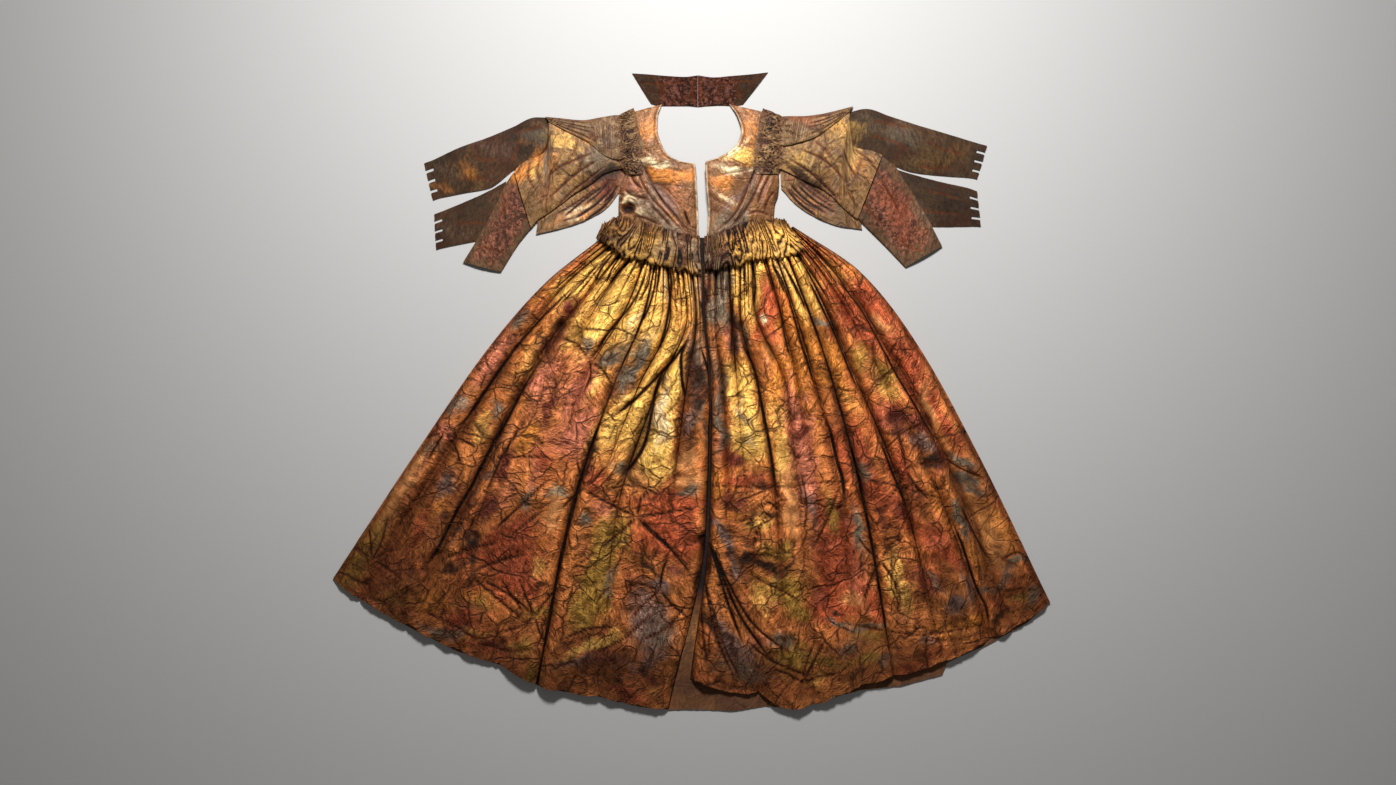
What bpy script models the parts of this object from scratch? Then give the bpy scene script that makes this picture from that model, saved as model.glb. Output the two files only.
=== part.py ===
"""Baroque wedding dress of silk satin, laid out flat on its back.

The tables are in centimetres: x to the right, y towards the collar, z up from the surface that the
dress lies on, from the middle of the laid-out dress. Left and right are those of someone who looks
down on it with the collar at the top. Every tube of the garment lies flattened, as a back panel on
the surface with a folded front panel over it. Each panel is a wall of cloth over a grid of points,
and it is laid on the panels below it, with a gap of a hair between them.
"""

import math
from collections import namedtuple

import bmesh
import bpy
from mathutils import Vector
from mathutils.bvhtree import BVHTree

CM = 0.01
CLOTH = 0.16  # the thickness of a wall of cloth
HAIR = 0.035  # the gap between pieces that touch
SHARP = 60  # degrees, past which an edge is drawn sharp
STEEPEST = 0.3  # the least upward share of a normal, which keeps a steep wall thin
ABOVE_ALL = 20.0  # a height above every panel
FEEL_STEP = 0.25  # how closely a panel is set against those below it

Finish = namedtuple("Finish", "colour roughness")
FINISHES = {
    "skirt_satin": Finish((0.55, 0.24, 0.07), 0.40),
    "gathered_silk": Finish((0.40, 0.24, 0.08), 0.55),
    "bodice_satin": Finish((0.56, 0.29, 0.09), 0.36),
    "sleeve_silk": Finish((0.34, 0.23, 0.12), 0.50),
    "worn_damask": Finish((0.34, 0.15, 0.11), 0.62),
    "plain_back": Finish((0.30, 0.18, 0.09), 0.60),
}

# The skirt's folds are valley lines from the waist to the hem, a row each. x0 to x4 place one at the
# five stations down the skirt, hem is its y at the hem, d0 to d4 say how deep it is at the stations
# as a share of a full fold, and pleat is the height of the cloth to its right.
STATIONS = (0.0, 0.12, 0.3, 0.6, 1.0)
Fold = namedtuple("Fold", "x0 x1 x2 x3 x4 hem d0 d1 d2 d3 d4 pleat")

SIDE_LEFT = (
    Fold(-21.97, -33.96, -46.65, -63.33, -84.25, -43.83, 1, 1, 1, 1, 1, 2.3),
    Fold(-18.92, -30.43, -41.48, -58.16, -77.9, -48.53, 0.9, 0.9, 0.6, 0.8, 0.8, 2.8),
    Fold(-16.1, -24.56, -36.54, -49.7, -66.62, -54.64, 1, 0.9, 0.7, 0.9, 0.2, 3.2),
    Fold(-13.75, -21.5, -30.43, -41.01, -55.34, -60.28, 1, 0.8, 0.2, 0.1, 0.1, 3.4),
    Fold(-10.69, -15.16, -25.03, -33.25, -45, -63.8, 1, 1, 0.5, 0.1, 0.1, 3.6),
    Fold(-8.34, -10.93, -18.45, -28.32, -36.31, -68.74, 1, 1, 0.8, 1, 1, 3.8),
)
CENTRE_LEFT = (
    SIDE_LEFT[-1],
    Fold(-5.76, -5.05, -12.81, -23.38, -29.73, -70.15, 1, 1, 0.6, 0.1, 0.1, 3.6),
    Fold(-2.47, -1.06, -8.34, -17.98, -21.5, -71.32, 0.8, 0.5, 1, 0.4, 0.1, 3.4),
    Fold(-0.12, 1.06, -1.53, -5.52, -12.1, -73.67, 0.8, 0.7, 0.8, 0.1, 0.1, 3.0),
    Fold(2, 2.47, 3.88, 2.94, -5.52, -74.14, 1, 1, 0.9, 0.9, 0.8, 3.0),
)
CENTRE_RIGHT = (
    Fold(3.05, 3.41, 4.58, 4.58, -0.35, -67.33, 1, 1, 0.9, 0.9, 0.8, 2.8),
    Fold(5.76, 5.52, 7.4, 8.81, 10.22, -70.62, 0.9, 0.4, 0.6, 0.3, 0.3, 3.0),
    Fold(8.58, 9.28, 10.69, 12.81, 15.63, -70.38, 0.9, 1, 0.4, 0.1, 0.3, 3.4),
    Fold(11.4, 11.4, 15.86, 20.33, 22.44, -74.38, 0.8, 0.8, 0.8, 0.5, 0.1, 3.6),
    Fold(14.22, 14.69, 22.21, 25.5, 28.55, -73.2, 1, 1, 0.5, 0.3, 0.1, 3.6),
    Fold(16.57, 20.09, 24.79, 30.2, 33.72, -71.32, 1, 0.9, 0.5, 0.2, 0.1, 3.6),
    Fold(18.68, 22.91, 28.55, 35.37, 39.83, -68.74, 1, 0.9, 0.7, 0.3, 0.1, 3.4),
    Fold(20.56, 25.5, 32.08, 40.3, 47.35, -66.62, 1, 0.9, 0.9, 1, 0.6, 3.2),
)
SIDE_RIGHT = (
    CENTRE_RIGHT[-1],
    Fold(21.74, 28.79, 36.78, 49.23, 59.1, -63.33, 1, 1, 1, 0.8, 0.2, 3.0),
    Fold(22.68, 31.61, 41.48, 56.28, 70.15, -57.93, 0.9, 0.7, 0.3, 0.5, 1, 2.7),
    Fold(23.38, 34.43, 45.71, 60.51, 75.32, -55.58, 0.9, 0.8, 0.9, 0.8, 0.5, 2.2),
    Fold(23.85, 39.6, 52.29, 67.09, 84.25, -49.47, 1, 1, 1, 1, 1, 1.8),
)
SKIRT_FRONTS = {
    "skirt_side_left": SIDE_LEFT,
    "skirt_centre_left": CENTRE_LEFT,
    "skirt_centre_right": CENTRE_RIGHT,
    "skirt_side_right": SIDE_RIGHT,
}

# At the stations: the share of its height that a pleat has, and the depth of a full fold.
PLEAT_RISE = (0.80, 1.0, 1.0, 0.85, 0.50)
FOLD_DEPTH = (1.2, 2.1, 2.6, 2.4, 1.3)
FOLD_REACH = 2.4
PLEAT_STEPS = (0.0, 0.12, 0.28, 0.5, 0.72, 0.88)
SKIRT_ROWS = 10
HEM_SCALLOP = 0.5
SCALLOP_START = 3

# The waist of the skirt's front dips towards the middle, more steeply on the right.
WAIST_MIDDLE = 2
WAIST_LOW = 29.96
WAIST_BEND_LEFT = 0.0097
WAIST_BEND_RIGHT = 0.0186

# The skirt's back panel shows past the front's hem in places. Its waist and hem, left to right.
Point = namedtuple("Point", "x y")
BACK_WAIST = (
    Point(-21.97, 35.6), Point(-16.33, 36.28), Point(2, 36.28), Point(18.92, 36.28),
    Point(23.85, 38.89),
)
BACK_HEM = (
    Point(-84.25, -43.83), Point(-77.43, -49), Point(-66.86, -55.11), Point(-55.34, -60.98),
    Point(-42.65, -64.98), Point(-35.13, -69.68), Point(-21.5, -71.79), Point(-12.1, -74.14),
    Point(-5.52, -74.73), Point(2, -74.73), Point(10.22, -75.08), Point(17.27, -73.91),
    Point(23.15, -74.61), Point(32.55, -72.03), Point(40.07, -70.15), Point(49, -69.21),
    Point(58.87, -66.62), Point(60.04, -63.8), Point(70.38, -59.1), Point(78.84, -54.4),
    Point(84.25, -49.47),
)
BACK_ROWS = 8

# Every other panel is a ladder of rungs. A rung runs from one edge of the panel to the other and
# gives both its ends, the height of each, and the rise of the cloth between them.
Rung = namedtuple("Rung", "x1 y1 x2 y2 z1 z2 rise")

HEADING_LEFT = (
    Rung(-21.03, 39.13, -22.44, 36.07, 0.4, 2.0, 0.6),
    Rung(-16.8, 40.77, -18.92, 34.19, 0.5, 3.8, 0.7),
    Rung(-12.1, 40.07, -15.39, 31.61, 1.0, 4.0, 0.9),
    Rung(-8.34, 38.89, -10.93, 30.67, 1.6, 4.2, 0.9),
    Rung(-4.82, 37.95, -6.46, 29.26, 1.9, 4.2, 0.9),
    Rung(-1.29, 37.01, -2.23, 28.08, 2.0, 4.0, 0.9),
    Rung(2, 36.31, 2.23, 27.61, 2.1, 3.6, 0.8),
)
HEADING_RIGHT = (
    Rung(2.94, 36.31, 3.05, 28.32, 2.1, 3.6, 0.8),
    Rung(5.76, 37.01, 6.23, 29.02, 2.0, 4.0, 0.9),
    Rung(9.28, 38.42, 10.46, 29.73, 1.9, 4.2, 0.9),
    Rung(12.81, 39.83, 14.69, 30.9, 1.6, 4.2, 0.9),
    Rung(16.1, 40.66, 18.68, 31.37, 1.0, 4.1, 0.9),
    Rung(19.15, 40.77, 22.68, 31.84, 0.5, 3.9, 0.7),
    Rung(22.21, 40.07, 26.44, 33.25, 0.4, 3.4, 0.5),
)
FRONT_LEFT = (
    Rung(-14.69, 65.45, -6.93, 67.56, 0.6, 0.2, 0.3),
    Rung(-14.22, 63.1, -7.87, 64.74, 1.0, 1.1, 0.5),
    Rung(-13.75, 60.04, -7.99, 61.45, 1.4, 1.7, 0.6),
    Rung(-13.04, 56.99, -7.17, 58.4, 1.6, 2.1, 0.7),
    Rung(-12.57, 54.64, -5.52, 55.58, 1.7, 2.4, 0.8),
    Rung(-11.63, 52.29, -2.47, 53.93, 1.7, 2.6, 0.9),
    Rung(-10.46, 50.17, 0.82, 53.23, 1.8, 2.7, 1.0),
    Rung(-8.11, 46.65, 1.29, 47.82, 1.9, 2.8, 0.8),
    Rung(-4.58, 41.71, 1.53, 42.18, 2.0, 2.6, 0.4),
    Rung(-0.82, 37.01, 1.65, 36.07, 2.0, 2.3, 0.2),
)
FRONT_RIGHT = (
    Rung(17.04, 65.68, 8.81, 67.56, 0.6, 0.2, 0.3),
    Rung(17.04, 63.1, 10.69, 64.74, 1.0, 1.1, 0.5),
    Rung(16.57, 60.04, 11.63, 61.45, 1.4, 1.7, 0.6),
    Rung(16.1, 56.99, 10.93, 58.63, 1.6, 2.1, 0.7),
    Rung(15.39, 54.4, 9.05, 56.52, 1.7, 2.4, 0.8),
    Rung(14.69, 52.29, 6.23, 54.87, 1.7, 2.6, 0.9),
    Rung(13.98, 49.94, 3.17, 53.46, 1.8, 2.7, 1.0),
    Rung(13.28, 46.88, 3.41, 47.82, 1.9, 2.8, 0.8),
    Rung(11.63, 42.42, 3.88, 42.18, 2.0, 2.6, 0.5),
    Rung(8.58, 37.72, 3.52, 36.07, 2.0, 2.3, 0.3),
)
SIDE_PANEL_LEFT = (
    Rung(-14.92, 52.52, -10.93, 52.76, 0.4, 1.5, 0.3),
    Rung(-16.33, 49.47, -8.34, 48.76, 0.4, 1.7, 0.9),
    Rung(-17.04, 46.18, -5.52, 45, 0.4, 1.9, 1.1),
    Rung(-17.15, 42.89, -2.47, 41.24, 0.4, 2.0, 1.0),
    Rung(-16.8, 38.89, 0.12, 36.54, 0.4, 2.0, 0.7),
)
SIDE_PANEL_RIGHT = (
    Rung(20.09, 52.99, 13.75, 53.7, 0.4, 1.5, 0.4),
    Rung(20.56, 49.7, 12.57, 49.47, 0.4, 1.7, 0.9),
    Rung(20.33, 46.41, 11.63, 45.47, 0.4, 1.9, 1.1),
    Rung(19.39, 43.36, 9.75, 42.18, 0.4, 2.0, 1.0),
    Rung(19.15, 39.6, 6.93, 37.72, 0.4, 2.0, 0.7),
)
BACK_LEFT = (
    Rung(-14.92, 64.98, -8.34, 66.62, 0, 0, 0),
    Rung(-15.86, 60.98, -9.28, 61.45, 0, 0, 0),
    Rung(-16.1, 57.22, -8.34, 56.75, 0, 0, 0),
    Rung(-16.57, 53.93, -4.58, 53.23, 0, 0, 0),
    Rung(-16.8, 51.11, 0.78, 51.58, 0, 0, 0),
    Rung(-17.04, 46.18, 1.36, 46.18, 0, 0, 0),
    Rung(-16.8, 41.24, 1.55, 41.24, 0, 0, 0),
    Rung(-16.57, 36.31, 1.69, 36.31, 0, 0, 0),
)
BACK_RIGHT = (
    Rung(17.27, 65.21, 10.93, 66.15, 0, 0, 0),
    Rung(18.68, 60.98, 12.81, 61.45, 0, 0, 0),
    Rung(19.39, 57.22, 12.1, 56.75, 0, 0, 0),
    Rung(20.09, 53.93, 8.11, 53.23, 0, 0, 0),
    Rung(20.33, 51.11, 3.08, 51.58, 0, 0, 0),
    Rung(19.86, 46.18, 3.6, 46.18, 0, 0, 0),
    Rung(19.39, 41.24, 4.09, 41.24, 0, 0, 0),
    Rung(18.92, 36.31, 3.55, 36.31, 0, 0, 0),
)
ARMHOLE_LEFT = (
    Rung(-17.04, 64.98, -13.51, 66.62, 0.6, 0.8, 0.9),
    Rung(-17.74, 62.39, -12.57, 63.57, 0.8, 1.0, 1.4),
    Rung(-17.98, 59.1, -11.87, 59.57, 0.8, 1.2, 1.5),
    Rung(-17.74, 56.05, -11.16, 55.81, 0.8, 1.4, 1.4),
    Rung(-16.8, 53.23, -10.93, 52.76, 0.7, 1.5, 1.1),
    Rung(-15.16, 50.64, -11.87, 50.88, 0.6, 1.5, 0.7),
)
ARMHOLE_RIGHT = (
    Rung(21.5, 64.51, 16.57, 66.62, 0.6, 0.8, 0.9),
    Rung(21.97, 62.16, 15.86, 63.57, 0.8, 1.0, 1.4),
    Rung(22.21, 59.1, 15.16, 59.57, 0.8, 1.2, 1.5),
    Rung(21.97, 56.05, 14.45, 56.05, 0.8, 1.4, 1.4),
    Rung(21.27, 53.46, 14.22, 53.23, 0.7, 1.5, 1.1),
    Rung(20.56, 51.11, 15.16, 50.88, 0.6, 1.5, 0.7),
)
COLLAR_LEFT = (
    Rung(-13.98, 74.85, -9.52, 67.68, 0, 0, 0),
    Rung(-10.22, 74.61, -7.17, 67.21, 0, 0, 0),
    Rung(-5.99, 74.26, -4.35, 67.21, 0, 0, 0),
    Rung(-1.76, 74.02, -1.06, 67.21, 0, 0, 0),
    Rung(1.43, 74.38, 1.43, 66.97, 0, 0, 0),
)
COLLAR_RIGHT = (
    Rung(1.48, 74.38, 1.48, 66.97, 0, 0, 0),
    Rung(5.29, 73.91, 4.11, 67.21, 0, 0, 0),
    Rung(9.52, 74.26, 6.93, 67.33, 0, 0, 0),
    Rung(13.75, 74.61, 9.75, 67.21, 0, 0, 0),
    Rung(17.98, 75.08, 12.1, 67.56, 0, 0, 0),
)

SLEEVE_LEFT = {
    "back": (
        Rung(-15.86, 64.27, -17.04, 46.88, 0, 0, 0),
        Rung(-21.03, 63.57, -20.09, 43.12, 0, 0, 0),
        Rung(-26.2, 63.33, -25.5, 40.07, 0, 0, 0),
        Rung(-30.9, 63.33, -31.37, 38.19, 0, 0, 0),
        Rung(-34.19, 54.4, -36.54, 37.01, 0, 0, 0),
    ),
    "pane_upper": (
        Rung(-30.43, 64.27, -30.43, 57.22, 0, 0, 0),
        Rung(-36.54, 64.51, -35.6, 55.58, 0, 0, 0),
        Rung(-42.18, 62.16, -41.48, 52.29, 0, 0, 0),
        Rung(-48.06, 59.69, -47.59, 47.82, 0, 0, 0),
        Rung(-54.17, 57.57, -53.7, 46.65, 0, 0, 0),
        Rung(-60.98, 54.4, -59.34, 45.47, 0, 0, 0),
        Rung(-62.86, 53.7, -60.75, 45, 0, 0, 0),
    ),
    "pane_lower": (
        Rung(-43.59, 49.47, -45, 36.54, 0, 0, 0),
        Rung(-47.82, 47.12, -49.7, 35.6, 0, 0, 0),
        Rung(-53.23, 44.65, -54.4, 34.66, 0, 0, 0),
        Rung(-58.63, 42.42, -58.4, 33.84, 0, 0, 0),
        Rung(-60.51, 41.71, -60.04, 33.37, 0, 0, 0),
    ),
    "cuff_back": (
        Rung(-40.07, 52.99, -36.31, 40.54, 0, 0, 0),
        Rung(-43.12, 49.23, -38.66, 37.72, 0, 0, 0),
        Rung(-46.18, 43.12, -40.54, 35.13, 0, 0, 0),
        Rung(-49.94, 36.31, -42.65, 31.84, 0, 0, 0),
        Rung(-53.58, 30.67, -44.88, 28.32, 0, 0, 0),
    ),
    "cuff_front": (
        Rung(-40.07, 53.46, -36.07, 40.3, 0.6, 0.6, 0.2),
        Rung(-43.12, 49.7, -38.66, 37.25, 0.55, 0.55, 0.7),
        Rung(-46.18, 43.36, -40.54, 34.9, 0.55, 0.5, 0.8),
        Rung(-49.94, 36.54, -42.65, 31.61, 0.5, 0.4, 0.7),
        Rung(-53.7, 30.43, -44.77, 28.08, 0.4, 0.4, 0.5),
    ),
    "front": (
        Rung(-15.16, 56.75, -15.86, 52.52, 0.9, 0.9, 0.4),
        Rung(-18.92, 56.75, -20.09, 51.35, 1.2, 1.1, 0.8),
        Rung(-22.21, 58.4, -23.62, 48.76, 1.2, 1.0, 1.7),
        Rung(-27.85, 60.98, -27.14, 46.65, 1.0, 1.0, 2.1),
        Rung(-33.49, 63.57, -30.9, 43.83, 0.8, 0.9, 1.9),
        Rung(-33.96, 56.99, -33.49, 41.95, 0.9, 0.9, 1.4),
        Rung(-39.36, 53.93, -36.31, 40.07, 0.95, 0.9, 1.1),
        Rung(-41.71, 51.82, -37.72, 38.42, 0.95, 0.9, 0.8),
    ),
    "wing": (
        Rung(-34.43, 64.62, -33.49, 63.33, 0.6, 1.2, 0.1),
        Rung(-30.9, 64.27, -29.26, 60.98, 0.6, 1.6, 0.5),
        Rung(-25.73, 63.8, -24.32, 58.4, 0.6, 2.0, 0.9),
        Rung(-21.03, 64.51, -20.33, 55.34, 0.6, 2.2, 1.0),
        Rung(-17.74, 64.98, -17.51, 54.4, 0.6, 2.0, 0.6),
        Rung(-15.39, 64.98, -15.39, 55.11, 0.6, 1.6, 0.3),
    ),
}
SLEEVE_RIGHT = {
    "back": (
        Rung(20.33, 64.27, 21.03, 47.82, 0, 0, 0),
        Rung(25.03, 63.57, 24.79, 43.83, 0, 0, 0),
        Rung(30.2, 64.27, 29.73, 40.77, 0, 0, 0),
        Rung(35.13, 65.21, 34.9, 38.89, 0, 0, 0),
        Rung(37.25, 53.23, 40.07, 38.19, 0, 0, 0),
    ),
    "pane_upper": (
        Rung(34.43, 64.74, 34.9, 57.22, 0, 0, 0),
        Rung(41.01, 66.5, 41.48, 56.28, 0, 0, 0),
        Rung(46.65, 64.74, 46.41, 53.7, 0, 0, 0),
        Rung(52.52, 62.86, 51.82, 51.58, 0, 0, 0),
        Rung(59.57, 60.75, 58.63, 50.76, 0, 0, 0),
        Rung(67.33, 58.4, 65.45, 50.29, 0, 0, 0),
        Rung(69.44, 57.81, 67.09, 49.94, 0, 0, 0),
    ),
    "pane_lower": (
        Rung(47.35, 52.52, 50.41, 39.6, 0, 0, 0),
        Rung(52.29, 50.99, 54.87, 38.89, 0, 0, 0),
        Rung(58.4, 49.35, 59.57, 38.77, 0, 0, 0),
        Rung(65.21, 47.82, 65.92, 38.89, 0, 0, 0),
        Rung(67.09, 47.12, 68.03, 38.77, 0, 0, 0),
    ),
    "cuff_back": (
        Rung(42.89, 55.81, 37.25, 42.65, 0, 0, 0),
        Rung(47.12, 52.99, 40.3, 39.83, 0, 0, 0),
        Rung(50.41, 48.53, 42.65, 37.48, 0, 0, 0),
        Rung(53.93, 42.89, 45.71, 34.43, 0, 0, 0),
        Rung(58.75, 34.43, 50.29, 29.49, 0, 0, 0),
    ),
    "cuff_front": (
        Rung(42.89, 56.28, 37.01, 42.42, 0.6, 0.6, 0.2),
        Rung(47.35, 53.46, 40.07, 39.6, 0.55, 0.55, 0.7),
        Rung(50.64, 48.76, 42.42, 37.25, 0.55, 0.5, 0.8),
        Rung(54.17, 43.12, 45.47, 34.19, 0.5, 0.4, 0.7),
        Rung(58.87, 34.19, 50.17, 29.26, 0.4, 0.4, 0.5),
    ),
    "front": (
        Rung(19.62, 58.63, 20.33, 52.52, 0.9, 0.9, 0.4),
        Rung(23.15, 59.1, 23.85, 50.88, 1.2, 1.1, 0.8),
        Rung(27.38, 59.57, 27.38, 49, 1.2, 1.0, 1.7),
        Rung(32.08, 62.39, 30.9, 47.35, 1.0, 1.0, 2.1),
        Rung(37.01, 65.92, 33.49, 45.24, 0.8, 0.9, 1.9),
        Rung(37.95, 57.69, 35.6, 43.12, 0.9, 0.9, 1.4),
        Rung(42.42, 56.52, 37.48, 41.48, 0.95, 0.9, 1.1),
        Rung(44.77, 55.58, 38.89, 40.3, 0.95, 0.9, 0.8),
    ),
    "wing": (
        Rung(37.95, 67.09, 37.01, 65.68, 0.6, 1.2, 0.1),
        Rung(34.43, 66.15, 33.02, 62.39, 0.6, 1.6, 0.5),
        Rung(30.2, 65.21, 29.02, 59.57, 0.6, 2.0, 0.9),
        Rung(25.97, 64.74, 24.79, 58.16, 0.6, 2.2, 1.0),
        Rung(22.68, 64.74, 22.21, 57.69, 0.6, 2.0, 0.6),
        Rung(20.09, 64.51, 20.09, 57.93, 0.6, 1.6, 0.3),
    ),
}

# How a panel is divided: its ribs, the points along each rib or each rung gap, and points across.
Cut = namedtuple("Cut", "ribs rib_height along across")
HUMP_ROUNDNESS = 0.75
PLAIN = Cut(0, 0.0, 2, 5)
DOMED = Cut(0, 0.0, 2, 9)
FLAT = Cut(0, 0.0, 2, 3)
HEADING = Cut(24, 0.20, 4, 5)
ARMHOLE = Cut(10, 0.16, 4, 5)
WING = Cut(9, 0.12, 4, 5)

# A pane ends in four square tabs. The steps across it are the edges of its tabs.
TAB_STEPS = (0.0, 0.19, 0.27, 0.46, 0.54, 0.73, 0.81, 1.0)


UpperSide = namedtuple("UpperSide", "surface places least most")


def clear_scene():
    for item in list(bpy.data.objects):
        bpy.data.objects.remove(item, do_unlink=True)


def make_material(name, finish):
    material = bpy.data.materials.new(name)
    material.use_nodes = True
    shader = material.node_tree.nodes["Principled BSDF"]
    shader.inputs["Base Color"].default_value = (*finish.colour, 1.0)
    shader.inputs["Roughness"].default_value = finish.roughness
    shader.inputs["Metallic"].default_value = 0.0
    return material


def curve(places, values, place):
    """The smooth curve through the values at their places, which never swings past a value."""
    last = len(places) - 1
    start = max(k for k in range(last) if k == 0 or places[k] <= place)

    def slope(k):
        before, after = (
            (values[j + 1] - values[j]) / (places[j + 1] - places[j])
            for j in (max(k - 1, 0), min(k, last - 1)))
        return 2 * before * after / (before + after) if before * after > 0 else 0.0

    width = places[start + 1] - places[start]
    rise = values[start + 1] - values[start]
    share = (place - places[start]) / width
    lead_in = slope(start) * width - rise
    lead_out = rise - slope(start + 1) * width
    bend = share * (1 - share) * ((1 - share) * lead_in + share * lead_out)
    return values[start] + share * rise + bend


def between(first, second, share):
    return first + (second - first) * share


def upper_side(panel):
    """The upper side of a panel, for the next panels to lie on."""
    places = []
    for edge in panel.edges:
        start, end = edge.verts[0].co, edge.verts[1].co
        steps = max(1, math.ceil((end - start).length / FEEL_STEP))
        places += [start.lerp(end, step / steps) for step in range(steps + 1)]
    return UpperSide(BVHTree.FromBMesh(panel), places, *reach_of(places))


def reach_of(places):
    """The lowest and highest x and y of some places."""
    across, along = [place.x for place in places], [place.y for place in places]
    return (min(across), min(along)), (max(across), max(along))


def is_beside(corners, least, most):
    """Whether a face lies wholly beside a panel that reaches from least to most."""
    start, end = reach_of(corners)
    return any(start[k] > most[k] or end[k] < least[k] for k in range(2))


def points_within(corners):
    """Points spread over a triangle, its corners included, as shares of the corners."""
    longest = max((corners[k] - corners[k - 1]).length for k in range(3))
    steps = max(1, math.ceil(longest / FEEL_STEP))
    return [(i / steps, j / steps, (steps - i - j) / steps)
            for i in range(steps + 1) for j in range(steps + 1 - i)]


def sinks_into(panel, lower, below):
    """How far each face of a panel's lower side would sink into the panels below it."""
    sunk = [0.0] * len(panel.faces)
    faces = [[vertex.index for vertex in face.verts] for face in panel.faces]
    lower_side = BVHTree.FromPolygons(lower, faces)
    for surface, places, least, most in below:
        for place in places:
            _, _, face, drop = lower_side.ray_cast((*place.xy, -ABOVE_ALL), (0.0, 0.0, 1.0))
            if face is not None:
                sunk[face] = max(sunk[face], place.z + HAIR - (drop - ABOVE_ALL))
        for index, face in enumerate(faces):
            corners = [lower[k] for k in face]
            if is_beside(corners, least, most):
                continue
            for shares in points_within(corners):
                point = sum((corner * share for corner, share in zip(corners, shares)), Vector())
                hit = surface.ray_cast((*point.xy, ABOVE_ALL), (0.0, 0.0, -1.0))[0]
                if hit:
                    sunk[index] = max(sunk[index], hit.z + HAIR - point.z)
    return sunk


def lay_panel(name, finish, columns, rows, point, below=(), is_cut_away=None):
    """A wall of cloth over a grid of points, laid on the panels below. Returns its upper side."""
    panel = bmesh.new()
    bmesh.ops.create_grid(panel, x_segments=columns - 1, y_segments=rows - 1, size=1.0)
    for index, vertex in enumerate(panel.verts):
        vertex.co = point(index % columns, index // columns)
    if is_cut_away:
        gone = [face for index, face in enumerate(panel.faces)
                if is_cut_away(index % (columns - 1), index // (columns - 1))]
        bmesh.ops.delete(panel, geom=gone, context="FACES")
    bmesh.ops.triangulate(panel, faces=panel.faces[:])
    panel.normal_update()

    lower = [vertex.co.copy() for vertex in panel.verts]
    for place, vertex in zip(lower, panel.verts):
        place.z = max(0.0, place.z - CLOTH / max(abs(vertex.normal.z), STEEPEST))
    sunk = sinks_into(panel, lower, below)
    floor = panel.verts.layers.float.new("floor")
    for place, vertex in zip(lower, panel.verts):
        vertex[floor] = place.z + max(sunk[face.index] for face in vertex.link_faces)
        vertex.co.z = max(vertex.co.z, vertex[floor] + CLOTH)
    upper = upper_side(panel)

    wall = bmesh.ops.extrude_face_region(panel, geom=panel.faces[:])
    for vertex in wall["geom"]:
        if isinstance(vertex, bmesh.types.BMVert):
            vertex.co.z = vertex[floor]
    bmesh.ops.scale(panel, vec=(CM, CM, CM), verts=panel.verts[:])
    bmesh.ops.recalc_face_normals(panel, faces=panel.faces[:])

    mesh = bpy.data.meshes.new(name)
    panel.to_mesh(mesh)
    panel.free()
    mesh.materials.append(finish)
    mesh.shade_smooth()
    mesh.set_sharp_from_angle(angle=math.radians(SHARP))
    bpy.data.collections["baroque_wedding_dress"].objects.link(bpy.data.objects.new(name, mesh))
    return upper


def lay_ladder(name, finish, rungs, cut, below=()):
    """A panel over a ladder of rungs, with ribs that run along the rungs where it is gathered."""
    places = range(len(rungs))
    segments = cut.along * (cut.ribs or len(rungs) - 1)

    def point(column, row):
        along = column / segments
        across = row / (cut.across - 1)
        x1, y1, x2, y2, z1, z2, rise = (
            curve(places, values, along * (len(rungs) - 1)) for values in zip(*rungs))
        hump = math.sin(math.pi * across) ** HUMP_ROUNDNESS if 0 < across < 1 else 0.0
        rib = cut.rib_height * math.cos(math.tau * cut.ribs * along) if cut.ribs else 0.0
        z = between(z1, z2, across) + rise * hump + rib
        return Vector((between(x1, x2, across), between(y1, y2, across), z))

    return lay_panel(name, finish, segments + 1, cut.across, point, below)


def lay_pane(name, finish, rungs, below=()):
    """A hanging strip of a sleeve, whose last rung is the tips of its four tabs."""
    places = range(len(rungs))

    def point(column, row):
        x1, y1, x2, y2 = (curve(places, values, column) for values in list(zip(*rungs))[:4])
        across = TAB_STEPS[row]
        return Vector((between(x1, x2, across), between(y1, y2, across), 0.0))

    def is_between_tabs(column, row):
        return column == len(rungs) - 2 and row % 2 == 1

    return lay_panel(name, finish, len(rungs), len(TAB_STEPS), point, below, is_between_tabs)


def waist_y(x):
    """The waist of the skirt's front, where its gathers start under the heading."""
    bend = WAIST_BEND_LEFT if x < WAIST_MIDDLE else WAIST_BEND_RIGHT
    return WAIST_LOW + bend * (x - WAIST_MIDDLE) ** 2


def fold_place(fold, down):
    """Where a fold's valley line is, a share of the way down the skirt."""
    return Vector((curve(STATIONS, fold[0:5], down), between(waist_y(fold.x0), fold.hem, down)))


def fold_dip(fold, down, away, reach):
    """How far the cloth sinks at a distance from a fold's valley line."""
    if away >= reach:
        return 0.0
    depth = curve(STATIONS, fold[6:11], down) * curve(STATIONS, FOLD_DEPTH, down)
    return depth * (1 - away / reach) ** 2


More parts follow.
